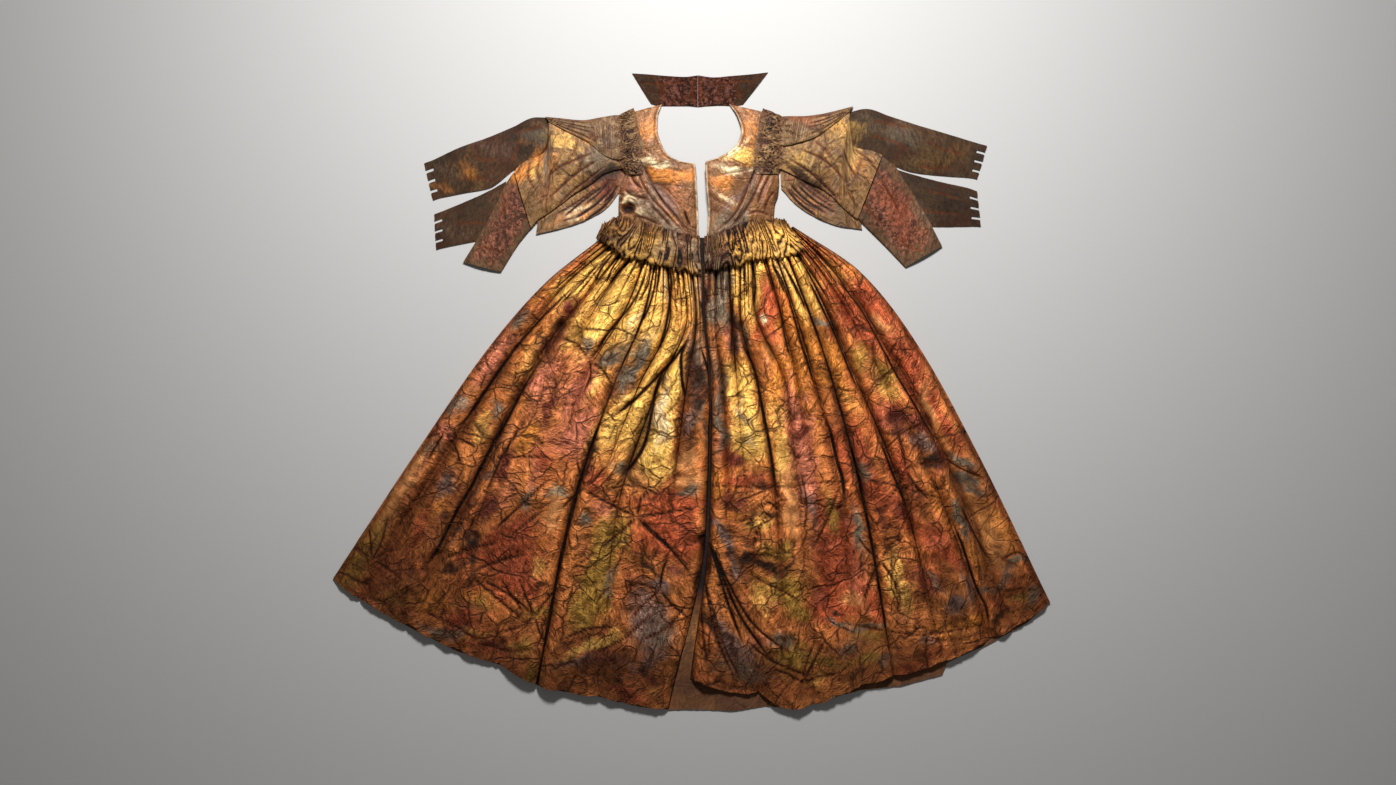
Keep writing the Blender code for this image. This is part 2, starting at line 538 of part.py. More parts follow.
def lay_skirt_front(name, finish, folds, below):
    """A pleated front panel of the skirt, from its first fold's valley line to its last."""
    places = [(pleat, step) for pleat in range(len(folds) - 1) for step in PLEAT_STEPS]
    places.append((len(folds) - 2, 1.0))

    def point(column, row):
        pleat, step = places[column]
        down = row / (SKIRT_ROWS - 1)
        left, right = folds[pleat], folds[pleat + 1]
        start, end = fold_place(left, down), fold_place(right, down)
        width = (end - start).length
        reach = min(FOLD_REACH, width / 2)
        before = folds[max(pleat - 1, 0)].pleat
        after = folds[min(pleat + 1, len(folds) - 2)].pleat
        beside = before if step < 0.5 else after
        own = math.sin(math.pi * step)
        crest = between((left.pleat + beside) / 2, left.pleat, own)
        crest *= curve(STATIONS, PLEAT_RISE, down)
        dip = fold_dip(left, down, width * step, reach)
        dip += fold_dip(right, down, width * (1 - step), reach)
        place = start.lerp(end, step)
        place.y -= HEM_SCALLOP * own * down ** SCALLOP_START
        place.x += HAIR * (0.5 - column / (len(places) - 1))
        return Vector((place.x, place.y, crest - dip))

    return lay_panel(name, finish, len(places), SKIRT_ROWS, point, below)


def lay_skirt_back(finish):
    """The back panel, whose side edges lie under those of the front panels."""
    columns = len(BACK_HEM)

    def waist_point(share):
        place = share * (len(BACK_WAIST) - 1)
        start = min(int(place), len(BACK_WAIST) - 2)
        return Vector(BACK_WAIST[start]).lerp(Vector(BACK_WAIST[start + 1]), place - start)

    def point(column, row):
        across = column / (columns - 1)
        down = row / (BACK_ROWS - 1)
        sides = fold_place(SIDE_LEFT[0], down).lerp(fold_place(SIDE_RIGHT[-1], down), across)
        ends = waist_point(across).lerp(Vector(BACK_HEM[column]), down)
        top = waist_point(0.0).lerp(waist_point(1.0), across)
        bottom = Vector(BACK_HEM[0]).lerp(Vector(BACK_HEM[-1]), across)
        place = sides + ends - top.lerp(bottom, down)
        return Vector((place.x, place.y, 0.0))

    return lay_panel("skirt_back", finish, columns, BACK_ROWS, point)


def lay_bodice(side, finishes, collar, back, side_panel, front):
    """One half of the bodice and its collar, from the surface up."""
    under = {
        "collar": lay_ladder(f"collar_{side}", finishes["worn_damask"], collar, FLAT),
        "back": lay_ladder(f"bodice_back_{side}", finishes["plain_back"], back, FLAT),
    }
    satin = finishes["bodice_satin"]
    under["side"] = lay_ladder(f"bodice_side_{side}", satin, side_panel, DOMED, under.values())
    under["front"] = lay_ladder(f"bodice_front_{side}", satin, front, PLAIN, under.values())
    return under


def lay_sleeve(side, finishes, bodice, rungs, armhole):
    """One sleeve, then the gathered band that joins it to the bodice."""
    silk, gathers = finishes["sleeve_silk"], finishes["gathered_silk"]
    under = [lay_ladder(f"sleeve_back_{side}", silk, rungs["back"], FLAT, [bodice["back"]])]
    for pane in ("pane_upper", "pane_lower"):
        under.append(lay_pane(f"sleeve_{pane}_{side}", silk, rungs[pane], under[:1]))
    under.append(lay_ladder(f"cuff_back_{side}", silk, rungs["cuff_back"], PLAIN, under))
    under.append(
        lay_ladder(f"cuff_front_{side}", finishes["worn_damask"], rungs["cuff_front"], PLAIN, under))
    under += bodice.values()
    under.append(lay_ladder(f"sleeve_front_{side}", silk, rungs["front"], DOMED, under))
    under.append(lay_ladder(f"sleeve_wing_{side}", gathers, rungs["wing"], WING, under))
    lay_ladder(f"armhole_{side}", gathers, armhole, ARMHOLE, under)


def lay_skirt(finishes, bodice):
    """The skirt's back and fronts, then the gathered heading over their waist."""
    under = bodice + [lay_skirt_back(finishes["plain_back"])]
    fronts = [lay_skirt_front(name, finishes["skirt_satin"], folds, under)
              for name, folds in SKIRT_FRONTS.items()]
    for name, rungs in (("heading_left", HEADING_LEFT), ("heading_right", HEADING_RIGHT)):
        lay_ladder(name, finishes["gathered_silk"], rungs, HEADING, under + fronts)


def build_dress():
    clear_scene()
    dress = bpy.data.collections.new("baroque_wedding_dress")
    bpy.context.scene.collection.children.link(dress)
    finishes = {name: make_material(name, finish) for name, finish in FINISHES.items()}
    left = lay_bodice("left", finishes, COLLAR_LEFT, BACK_LEFT, SIDE_PANEL_LEFT, FRONT_LEFT)
    right = lay_bodice("right", finishes, COLLAR_RIGHT, BACK_RIGHT, SIDE_PANEL_RIGHT, FRONT_RIGHT)
    lay_sleeve("left", finishes, left, SLEEVE_LEFT, ARMHOLE_LEFT)
    lay_sleeve("right", finishes, right, SLEEVE_RIGHT, ARMHOLE_RIGHT)
    lay_skirt(finishes, [*left.values(), *right.values()])


build_dress()
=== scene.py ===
# Baroque wedding dress of stained silk satin, laid out flat on its back and seen from above.
# Tables are in centimetres: x to the right, y towards the collar, z up from the floor.
import math

import bmesh
import bpy
import numpy as np
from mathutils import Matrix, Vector
from mathutils.bvhtree import BVHTree


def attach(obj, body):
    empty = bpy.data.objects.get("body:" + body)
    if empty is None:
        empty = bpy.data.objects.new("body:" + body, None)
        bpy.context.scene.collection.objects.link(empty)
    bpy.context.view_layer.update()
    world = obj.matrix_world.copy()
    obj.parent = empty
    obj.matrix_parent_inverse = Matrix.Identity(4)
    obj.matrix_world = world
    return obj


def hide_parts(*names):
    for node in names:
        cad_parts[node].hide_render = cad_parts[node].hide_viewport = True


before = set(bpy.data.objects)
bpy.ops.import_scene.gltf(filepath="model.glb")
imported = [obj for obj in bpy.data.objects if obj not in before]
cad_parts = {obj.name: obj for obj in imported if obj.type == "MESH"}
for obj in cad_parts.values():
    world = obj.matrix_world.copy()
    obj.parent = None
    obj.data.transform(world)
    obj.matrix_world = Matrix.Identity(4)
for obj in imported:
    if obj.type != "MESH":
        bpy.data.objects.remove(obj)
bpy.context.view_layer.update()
print("frame loaded:", len(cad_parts), "nodes")

centimetre = 0.01
cloth = {"wall": 0.13, "gap": 0.05, "steepest": 0.35, "soften": 0.25, "sharpAngle": 70,
         "reliefSize": 0.9, "reliefHeight": 0.16, "creaseShare": 0.85, "narrowestCrease": 0.28}
noiseTile = 64  # the noise repeats after so many cells


def readTable(text, length):  # rows of so many numbers, with a comma between two rows
    return np.array(text.replace(",", " ").split(), float).reshape(-1, length)


def readCreases(text):  # each row: width, depth (below 0 for a ridge), then x and y of its points
    creases = []
    for row in text.split(","):
        width, depth, *line = map(float, row.split())
        creases.append((width, depth, list(zip(line[::2], line[1::2]))))
    return creases


# Fields over the dress: they take arrays of places and give arrays

def waves(x, y, size, seed):  # soft noise from about -1 to 1
    turn = np.random.default_rng(seed).random((noiseTile, noiseTile)) * math.tau
    gx, gy = x / size, y / size
    ix, iy = np.floor(gx).astype(int), np.floor(gy).astype(int)
    fx, fy = gx - ix, gy - iy
    sx, sy = fx * fx * (3 - 2 * fx), fy * fy * (3 - 2 * fy)

    def corner(i, j):
        angle = turn[(ix + i) % noiseTile, (iy + j) % noiseTile]
        return np.cos(angle) * (fx - i) + np.sin(angle) * (fy - j)

    low = corner(0, 0) * (1 - sx) + corner(1, 0) * sx
    high = corner(0, 1) * (1 - sx) + corner(1, 1) * sx
    return (low * (1 - sy) + high * sy) * 1.6


def cells(x, y, size, seed):  # 0 on the borders of uneven cells, rising inside them
    jitter = np.random.default_rng(seed).random((noiseTile, noiseTile, 2))
    gx, gy = x / size, y / size
    ix, iy = np.floor(gx).astype(int), np.floor(gy).astype(int)
    nearest = np.full(gx.shape, 9.0)
    second = nearest.copy()
    for i in (-1, 0, 1):
        for j in (-1, 0, 1):
            spot = jitter[(ix + i) % noiseTile, (iy + j) % noiseTile]
            away = np.hypot(ix + i + spot[..., 0] - gx, iy + j + spot[..., 1] - gy)
            second = np.minimum(second, np.maximum(nearest, away))
            nearest = np.minimum(nearest, away)
    return second - nearest


def crumple(x, y, size, seed):  # the sharp ridges and dells of creased silk, about -1 to 1
    bentX = x + 0.4 * size * waves(x, y, 1.4 * size, seed + 1)
    bentY = y + 0.4 * size * waves(x, y, 1.4 * size, seed + 2)
    ridges = 1 - 2.2 * np.abs(waves(bentX, bentY, size, seed))
    creases = np.clip(cells(bentX, bentY, 1.2 * size, seed + 3) * 4, 0, 1)
    return 0.55 * ridges + 0.45 * (creases - 0.6)


def crumples(x, y, size, height, seed, longer=1.0):  # crumples of two sizes
    small = crumple(x, y / longer, 0.45 * size, seed + 20)
    return height * (crumple(x, y / longer, size, seed) + 0.5 * small)


def facets(x, y, size, seed):  # flat faces between straight creases that cross, 0 to about 1
    chance = np.random.default_rng(seed)
    total, most, directions = np.zeros(x.shape), 0.0, 6
    for k in range(directions):
        angle = math.pi * (k + chance.random()) / directions
        width = size * chance.uniform(0.7, 1.5)
        line = (x * math.cos(angle) + y * math.sin(angle)) / width
        line = line + 0.5 * waves(x, y, 3.1 * size, seed + 11 * k)
        here = np.clip(0.35 + 1.1 * waves(x, y, 1.9 * size, seed + 13 * k + 5), 0, 1) ** 1.5
        total += here * np.abs((line + chance.random()) % 1 * 2 - 1) * width
        most += 0.45 * width
    return total / most


def tangle(x, y, size, seed):  # strands that cross and lie over one another, about -1 to 1
    top = np.full(x.shape, -1.0)
    for k in range(4):
        angle = 0.785 * k + 0.35 * waves(x, y, 7 * size, seed + k)
        u, v = x * np.cos(angle) + y * np.sin(angle), y * np.cos(angle) - x * np.sin(angle)
        ridge = 1 - 4.6 * np.abs(waves(u, 0.25 * v, size, seed + 7 * k + 9))
        top = np.maximum(top, ridge * (0.65 + 0.5 * waves(x, y, 2.5 * size, seed + 3 * k + 50)))
    return top


def ribs(x, count, height, seed, wander, lengthwise=False, slant=0.0):  # uneven gathers of a panel
    rows, columns = x.shape
    along = np.linspace(0, 1, columns)[None, :] + 0 * x
    across = np.linspace(0, 1, rows)[:, None] + 0 * x
    if lengthwise:
        along, across = across, along
    phase = count * along + 2.4 * wander * waves(count * along, 2.0 * across, 4.3, seed)
    phase = phase + 0.5 * wander * waves(count * along, 3 * across, 1.7, seed + 1)
    phase = phase + slant * (across - 0.5) ** 2 + 9
    crest = np.abs(np.sin(np.pi * phase)) ** 0.6
    own = np.random.default_rng(seed).random(400)[np.floor(phase).astype(int) % 400]
    size = (0.45 + 0.9 * own) * (1 + 0.4 * waves(3 * across, phase, 1.1, seed + 2))
    groove = np.clip((1 - crest) * 1.25, 0, 1) ** 1.3
    return height * (size * crest - 0.55), np.clip(groove + 0.55 * (own < 0.22), 0, 1)


def curveThrough(places, values, at):  # smooth, and never past a value
    places, values = np.asarray(places, float), np.asarray(values, float)
    steps = np.diff(values) / np.diff(places)
    before, after = steps[:-1], steps[1:]
    sameWay = before * after > 0
    inner = np.where(sameWay, 2 * before * after / np.where(sameWay, before + after, 1), 0)
    slopes = np.concatenate([steps[:1], inner, steps[-1:]])
    start = np.clip(np.searchsorted(places, at, side="right") - 1, 0, len(places) - 2)
    width, rise = np.diff(places)[start], np.diff(values)[start]
    share = (at - places[start]) / width
    leadIn, leadOut = slopes[start] * width - rise, rise - slopes[start + 1] * width
    return values[start] + share * rise + share * (1 - share) * ((1 - share) * leadIn + share * leadOut)


def pressCreases(x, y, creases):  # how far creases sink the cloth, and how deep in one a place is
    sunk, inside = np.zeros(x.shape), np.zeros(x.shape)
    for width, depth, points in creases:
        width = max(cloth["creaseShare"] * width, cloth["narrowestCrease"])
        fine = np.linspace(0, len(points) - 1, 4 * (len(points) - 1) + 1)
        lineX, lineY = (curveThrough(range(len(points)), values, fine) for values in zip(*points))
        margin = 3 * width
        near = ((x > lineX.min() - margin) & (x < lineX.max() + margin)
                & (y > lineY.min() - margin) & (y < lineY.max() + margin))
        px, py = x[near], y[near]
        closest, share = np.full(px.shape, 1e9), np.zeros(px.shape)
        for k in range(len(fine) - 1):
            dx, dy = lineX[k + 1] - lineX[k], lineY[k + 1] - lineY[k]
            t = np.clip(((px - lineX[k]) * dx + (py - lineY[k]) * dy) / (dx * dx + dy * dy), 0, 1)
            away = np.hypot(px - lineX[k] - t * dx, py - lineY[k] - t * dy)
            closer = away < closest
            closest[closer] = away[closer]
            share[closer] = (k + t[closer]) / (len(fine) - 1)
        taper = np.clip(5 * np.minimum(share + 0.04, 1.04 - share), 0, 1)
        profile = taper * np.exp(-np.abs(closest / width) ** 1.5)
        sunk[near] += depth * profile
        if depth > 0:
            inside[near] = np.maximum(inside[near], profile * min(1, 0.18 + 2.0 * depth))
    return sunk, inside


def blurred(z, x, y, radius):  # mean height of a place's surroundings
    for axis in (0, 1):
        step = np.mean(np.hypot(np.diff(x, axis=axis), np.diff(y, axis=axis)))
        reach = int(np.clip(round(radius / step), 1, z.shape[axis] // 2))
        ends = [(reach + 1, reach) if k == axis else (0, 0) for k in (0, 1)]
        total = np.cumsum(np.pad(z, ends, mode="edge"), axis=axis)
        last = np.take(total, range(2 * reach + 1, total.shape[axis]), axis=axis)
        first = np.take(total, range(0, total.shape[axis] - 2 * reach - 1), axis=axis)
        z = (last - first) / (2 * reach + 1)
    return z


def spread(x, y, spots, seed, ragged):  # strength of one colour: soft ragged spots
    def wander(*seeds):  # a wide, a middling and a small bend
        bends = zip(((2.4, 8), (1.3, 3), (0.6, 1.3)), seeds)
        return ragged * sum(far * waves(x, y, size, seed + own) for (far, size), own in bends)

    bentX, bentY = x + wander(0, 1, 4), y + wander(2, 3, 5)
    bare = np.ones(x.shape)
    for spotX, spotY, length, width, turn, strength in spots:
        cos, sin = math.cos(math.radians(turn)), math.sin(math.radians(turn))
        u = ((bentX - spotX) * cos + (bentY - spotY) * sin) / length
        v = ((bentY - spotY) * cos - (bentX - spotX) * sin) / width
        bare *= 1 - strength / (1 + np.exp(np.clip(3.2 * (np.hypot(u, v) - 1), -30, 30)))
    return 1 - bare


# Stains that run over the pieces, and painted light: painted shade along the soft valleys and darker towards
# the hem and the lower corners, painted shadow in dark hollows and openings, and painted highlights on the
# bodice satin. Each row: x, y, half length, half width, turn in degrees, strength
# The deep set carries the painted shade list; the dark set carries black stains with painted shadow, and pale
# stains with painted highlights.
stainAndShadeSets = {"warmStains": ("gold", "orange", "rust", "rose"),
             "darkStains": ("grey", "soot", "olive", "pale"),
             "deepStains": ("maroon", "mauve", "tan", "shade")}
stains = {
    "gold": """
    -18.7 21.5 14.1 5.6 52 .9, -12.1 21 10.3 4.7 66 .95, -27.4 25.5 8 2.6 42 .7, -6.5 -3.9 14.6 2.6 84 1,
    -8.1 -11.9 7 3.5 75 .8, -20.6 -9.5 6.1 2.8 52 .6, .1 23.4 5.6 2.3 88 .6, -8.6 13.3 6.1 3.8 66 .6,
    11.9 -.6 8 3.3 -82 .9, 13.3 -9.5 7.5 3.5 -82 .8, 10.2 26.2 4.2 3.3 88 .8, 14.2 28.6 4.7 2.1 88 .8,
    20.8 29.5 5.6 2.6 -66 .95, 24.1 23.4 6.6 1.6 -66 .8, 28.8 21 4.7 1.9 -62 .5, 26.9 29 5.6 1.6 -52 .7,
    34.4 28.6 5.6 1.4 -44 .5, -29.3 23.1 3.8 2.1 50 .6, -38.2 7.9 7 1.9 60 .5, -49 -8.1 4.2 2.1 60 .6,
    19.9 -11.9 9.4 1.9 -85 .6, 48.3 -44.8 8 2.3 -78 .7, -23.4 -59.1 7.5 1.4 26 .8,
    -21.5 -39.6 7 3.3 50 .3, 15.4 -30.7 2.8 1.9 0 .7, 19.9 -45.2 5.2 3.3 0 .5, 15.6 -49 4.2 2.3 -40 .5,
    46.4 .1 3.8 2.8 -60 .6, 37 -2.5 4.7 2.1 -62 .4, -51.6 -57.5 5.2 1.2 8 .5, -35.4 -39.8 3.3 2.1 60 .5,
    -36.8 -51.6 2.8 1.6 0 .5, -8.1 -69.2 1.4 1.9 0 .5, 29.5 -66.4 2.8 1.9 40 .6, -70.6 -49 2.8 1.6 -30 .4,
    -8.6 27.4 10.8 2.1 0 .5, 11.9 55.3 3.8 2.6 0 .8, 37.2 54.9 3.3 2.1 80 .5, -30.9 59.8 3.8 2.1 -30 .55,
    -27.6 56 4.2 2.1 -30 .4, 13.3 23.4 8 2.3 88 .8, 24.6 27.1 7.5 2.8 -60 .6, 10 21.5 5.6 1.6 88 .6,
    -12.1 -1.5 10.3 2.3 60 .7, -15.4 -4.8 4.7 1.9 60 .5, -4.6 2.7 5.2 1.9 80 .5, -36.1 53 3.1 1.9 80 .6,
    25.5 53.2 4.2 3.3 -60 .5, 36.1 61.5 6.1 2.8 0 .5, -12.1 33.7 7 1.9 -10 .5, 10.2 34.4 5.6 1.9 10 .6,
    20.8 36.8 3.8 2.3 0 .6, -21.5 30.4 5.2 2.3 45 .6, 50.2 9.8 4.7 3.8 -50 .2, -21 3.2 7 2.1 60 .6,
    -13 -9 16.4 5.2 68 .45, -.4 16.8 14.1 5.6 88 .35, 11.9 25 8 2.8 88 .4""",
    "orange": """
    -38.7 -11.6 3.8 2.3 60 1, -26.9 20.8 3.3 1.9 50 .8, -35.8 22.7 4.2 1.9 45 .8, -2.5 18.4 3.3 2.1 80 .6,
    11.6 3.6 4.2 2.6 -80 .9, 19.4 5.8 9.4 2.1 -80 .9, 20.3 -.1 7 1.9 -80 .6, 24.3 6.9 11.8 1.9 -77 .9,
    30.9 10.7 7.5 2.6 -68 .9, 33.5 2.7 7 1.6 -66 .6, 37 -2.7 7 2.3 -64 .7, 39.1 27.4 9.4 1.6 -46 .7,
    53.5 11.9 6.1 1.6 -58 .6, -39.4 -20.8 4.7 2.6 60 .6, -41.9 -28.3 3.8 2.6 40 .5,
    -38 -36.3 5.2 3.1 60 .7, -59.3 -26 3.3 1.9 60 .8, -61.9 -49.7 7.5 2.1 -22 .7,
    -51.1 -48.3 6.6 1.6 -5 .6, 58.4 -25.5 6.1 2.1 -62 .7, 70.1 -29.3 7.5 2.8 -62 .7,
    66.6 -38 6.1 1.6 -66 .7, 73 -34.9 6.1 3.1 -60 .6, 62.2 -54.4 6.6 1.2 8 .8, 68.3 -53.2 3.3 1.2 12 .6,
    56 -57.7 6.6 .9 8 .6, 47.8 -11.9 3.3 1.6 -62 .7, 1.8 -53.9 6.1 1.2 86 .9, 1.3 -58.6 2.8 1.2 88 .7,
    5.8 -21.3 3.8 1.9 -70 .8, 11.2 -29.5 2.8 2.1 0 .7, 45.2 -24.1 6.1 1.6 -70 .7, -2.9 -47.1 2.3 1.6 0 .5,
    52.1 -34.9 3.8 1.9 -60 .6, 10.2 -18.9 9.4 2.1 -88 .4, -32.5 -6.7 8 1.9 72 .5, -29.5 12.1 7 1.6 60 .4,
    -19.6 12.1 9.4 1.2 60 .5, -16.8 -7.9 2.8 1.9 60 .6, 41.9 -30.2 7 1.4 -76 .5, -5.5 51.3 5.6 1.9 -3 1,
    7.2 49.2 3.5 2.1 0 .85, -10.2 61.9 4.2 2.8 80 .7, 13.3 61.5 4.2 2.8 90 .6, 11.9 55.8 3.8 1.9 20 .5,
    -51.6 53 3.1 1.9 -20 .7, -40.1 51.8 2.8 1.9 40 .95, -36.1 54.4 2.8 1.6 60 .8,
    -32.5 53.7 2.8 1.2 80 .7, -59.1 47.8 4.7 1.4 -12 .5, 34.9 60.3 4.7 2.3 -10 .4,
    39.1 53.2 2.8 1.9 80 .6, -24.8 59.3 3.3 1.4 -30 .5, 9.5 34.4 4.7 2.3 20 .6, -9.8 34.4 4.7 1.9 -10 .3,
    2 -71.3 14.1 1.4 0 .3, 23.1 16.3 10.8 3.3 -70 .8, 27.4 12.1 9.4 2.1 -68 .6, 10.9 16.3 3.8 1.9 88 .5,
    8.1 21.5 2.8 1.2 88 .4""",
    "rust": """
    17.5 22 4.7 2.1 -86 1, 15.4 15.9 3.8 1.4 -80 .8, 19.4 13.5 5.6 1.6 -80 .7, 35.8 19.4 6.1 1.9 -60 .95,
    41.5 22.2 6.6 2.6 -52 .95, 50.6 7.9 4.7 2.8 -60 1, 39.6 15.2 7 1.9 -58 .9, 45.7 -4.3 3.8 2.1 -60 .5,
    51.8 .4 4.2 1.9 -62 .6, 59.8 -8.6 8 1.9 -62 .7, 56.5 -1.5 4.7 1.2 -60 .6, 39.1 -12.8 6.6 2.1 -72 .8,
    34.9 -15.2 5.6 1.2 -75 .7, 42.4 -21.3 6.1 2.1 -72 .6, 34.7 -36.5 9.9 2.8 -80 .9,
    31.1 -43.8 9.4 2.6 -82 .9, 32.5 -50.4 3.8 2.6 0 .7, -5.5 -32.8 8.9 6.3 -32 1, -.8 -26.9 3.8 1.9 10 .8,
    -7.4 -24.6 6.1 1.6 4 .9, -23.4 -20.6 3.3 2.1 60 .8, -43.1 -34 6.6 2.8 42 .95,
    -41.2 -42.4 6.6 2.8 38 .95, -37.5 -45.7 3.3 2.1 30 .8, -38 -32.5 4.7 2.1 70 .6, -45 -38.7 7 1.4 15 .6,
    -63.8 -32.3 5.6 1.9 60 .8, -52.8 -38.7 2.1 1.2 30 .9, -46.4 -60.3 6.1 1.4 -12 .6,
    -53.5 -54.2 3.8 1.9 -10 .9, -15.9 -70.9 5.6 1.4 -12 .9, 45.2 -26.9 4.2 2.6 -62 .7,
    50.9 -30 5.2 1.6 -62 .6, 57.9 -35.4 5.2 2.6 -58 .8, 60.7 -39.1 4.2 2.1 -60 .8,
    56 -43.1 4.7 2.8 -50 .5, 71.6 -49.7 2.3 1.4 -40 .8, 74.4 -43.8 5.2 1.6 -62 .5,
    57.7 -61.9 3.8 1.2 8 .7, 50.4 -65 5.2 1.2 8 .6, 49 -17 5.2 1.6 -65 .8, -34.4 -15.9 3.3 2.6 60 .7,
    8.3 -14.5 3.3 2.3 -30 .7, 13.3 -21.5 6.6 1.6 -3 .8, 25.5 -71.1 5.6 .9 0 .5, 21.5 21.5 7 .9 -75 .5,
    31.6 -39.6 14.1 1.4 -82 .5, 41.5 -49 6.1 1.6 -80 .7, -27.1 14.5 4.7 .7 60 .5, -17.7 14.5 7 .7 62 .6,
    -12.1 21.5 6.1 .6 64 .6, -45 -49 3.8 1.6 -10 .4, 27.4 50.6 4.7 1.2 -20 .3, -18.7 46.6 2.3 1.2 80 .9,
    -21.5 49 2.8 .9 35 .7, -12.1 70.4 2.3 2.3 0 .3, 47.8 43.1 9.4 3.8 -52 .5, 4.3 -70.1 7 1.4 0 .3,
    25.5 64.5 6.1 1.2 -12 .7, 50.2 -18.4 28.2 8 -64 .4, 37.2 -25.5 30.5 6.1 -76 .4,
    49 14.5 11.8 5.2 -58 .5, 23.1 -49 21.1 7 -80 .25, -45 -39.6 21.1 9.4 50 .35""",
    "rose": """
    -46.6 8.3 7.5 2.8 60 .95, -26.4 .8 6.1 2.1 62 .9, -25.5 -9 6.1 2.6 62 .9, -34.9 2.7 5.6 1.9 60 .8,
    -38 -18.9 5.6 1.9 60 .6, -57.9 -10 2.8 2.1 50 .9, -20.8 -27.4 3.3 1.9 -30 .7, -23.6 -18 2.8 1.2 62 .9,
    8.1 13.7 3.1 1.9 85 1, 17 16.3 2.8 1.2 -80 .5, 21.5 -.6 5.2 1.4 -84 .9, 25.3 -5.3 7 1.6 -80 .8,
    26.2 -14.2 8 2.1 -84 1, 26.7 -21.3 4.2 1.9 -84 .9, 43.6 17.3 6.6 1.4 -58 .7, 49.7 2.7 2.8 1.9 -60 .8,
    46.2 -7.6 3.3 1.9 -60 .9, 38.7 -11.4 3.3 1.9 -70 .6, 38.4 -42.9 8.9 2.1 -80 .9,
    36.3 -30.4 1.9 1.6 0 .8, 16.1 -57.7 3.3 1.6 -20 .7, -2.9 -42.4 2.1 1.4 0 .9, 13 -20.8 5.2 2.1 0 .5,
    7.6 -13.7 2.8 2.1 0 .6, -59.1 -32.5 4.7 1.4 60 .4, -5.5 45 6.1 3.3 0 .4, -14 48.3 2.8 2.3 0 .4,
    16.6 48.3 3.8 2.1 80 .5, -45 43.8 6.1 3.3 60 .35, -34.4 47.4 3.3 3.3 0 .4, -21.5 45 7 1.9 30 .3,
    2 70.9 8.5 2.6 0 .3, 32.5 46.2 4.7 3.8 -40 .3, 51.8 43.1 4.7 2.3 -50 .25, -42.7 -25.5 3.8 1.9 60 .5,
    19.9 10.9 14.1 2.6 -80 .75, 25.5 -11.4 16.4 2.8 -82 .7, -30.9 -2 18.8 6.1 62 .6""",
    "maroon": """
    -27.8 18.9 2.1 1.6 60 .95, -32.8 10.5 4.2 1.4 60 .8, -44.1 -16.6 4.2 1.9 60 .95,
    -47.1 -26.4 4.7 1.9 60 .95, -32.5 -4.1 6.1 .8 76 .8, 9.8 -16.3 2.6 1.6 -20 .95,
    8.6 -25.3 2.3 2.1 0 .85, 12.3 -26.9 2.3 1.4 0 .85, 25.5 -10 2.1 1.4 -80 .9, 28.8 -32.5 6.6 .9 -84 .7,
    26.9 -27.4 5.6 1.9 -84 .6, 48.1 -5.1 3.8 2.1 -52 .9, 53.5 -7.9 2.8 2.1 -60 .95,
    57.7 -14.5 3.8 1.9 -60 .9, 49 -28.1 3.3 1.6 -60 .85, 54.6 -45 4.2 2.6 -50 .8, -9 -67.3 2.3 1.6 0 .95,
    -45.9 -59.3 6.1 .8 -6 .8, -19.4 -62.9 4.2 1.9 8 .7, 30.2 -47.1 4.7 1.2 -80 .6,
    50.2 -54.2 4.2 2.1 0 .5, 35.6 -25.5 5.2 .9 -78 .6, 2 -1.1 2.8 1.6 85 .7, -29 -25.5 7 .9 75 .4,
    -49.7 -51.3 4.7 1.2 -20 .5, 50.2 -11.4 5.6 .9 -62 .6, -12.1 -18.4 3.8 .9 60 .5,
    -18.9 48.8 3.3 1.4 62 .95, -22.4 49.7 4.2 .7 28 .8, 24.1 50.2 3.8 .7 -35 .7""",
    "tan": """
    -67.3 -21.3 9.4 2.6 60 .9, -73.2 -31.1 5.6 2.1 60 .6, -.8 -15.4 2.8 2.6 0 .9, -.8 -20.6 2.8 1.9 0 .9,
    -31.6 -25.3 2.8 1.9 60 .9, -32.5 -29.5 4.2 1.9 78 .8, 22.7 -21.7 10.3 1.6 -86 .9,
    22.9 -29.7 4.7 1.9 -86 .7, 56 -3.9 5.2 1.6 -66 .95, 72 -37.7 5.2 2.6 -60 .6, .1 26 1.9 1.6 0 .9,
    .6 21.5 4.7 .9 87 .7, 44.8 16.1 3.3 1.6 -60 .8, 42.2 -58.4 4.2 2.6 0 .5, 38.4 -48.8 2.8 2.1 0 .7,
    39.6 8.1 4.2 2.6 -60 .5, 18.2 10 3.8 1.6 -80 .7, -12.1 30.4 7 1.4 -5 .3, -27.1 41.7 4.2 1.4 12 .8,
    -30.9 40.1 2.8 1.2 5 .7, -30.9 61.5 7 1.4 -10 .4, -38 58.6 3.8 .9 -14 .5, -5.5 43.8 4.7 2.8 -30 .5,
    10.2 43.8 4.2 2.3 20 .5, 26.9 43.8 4.2 1.4 -20 .7, 2.9 9.3 7 .7 88 .4, 66.6 -26.7 16.4 3.8 -61 .5,
    58.4 -39.6 9.4 2.1 -62 .3, 29 15.6 7 1.9 -64 .5, -5.5 7.4 4.2 1.4 70 .4""",
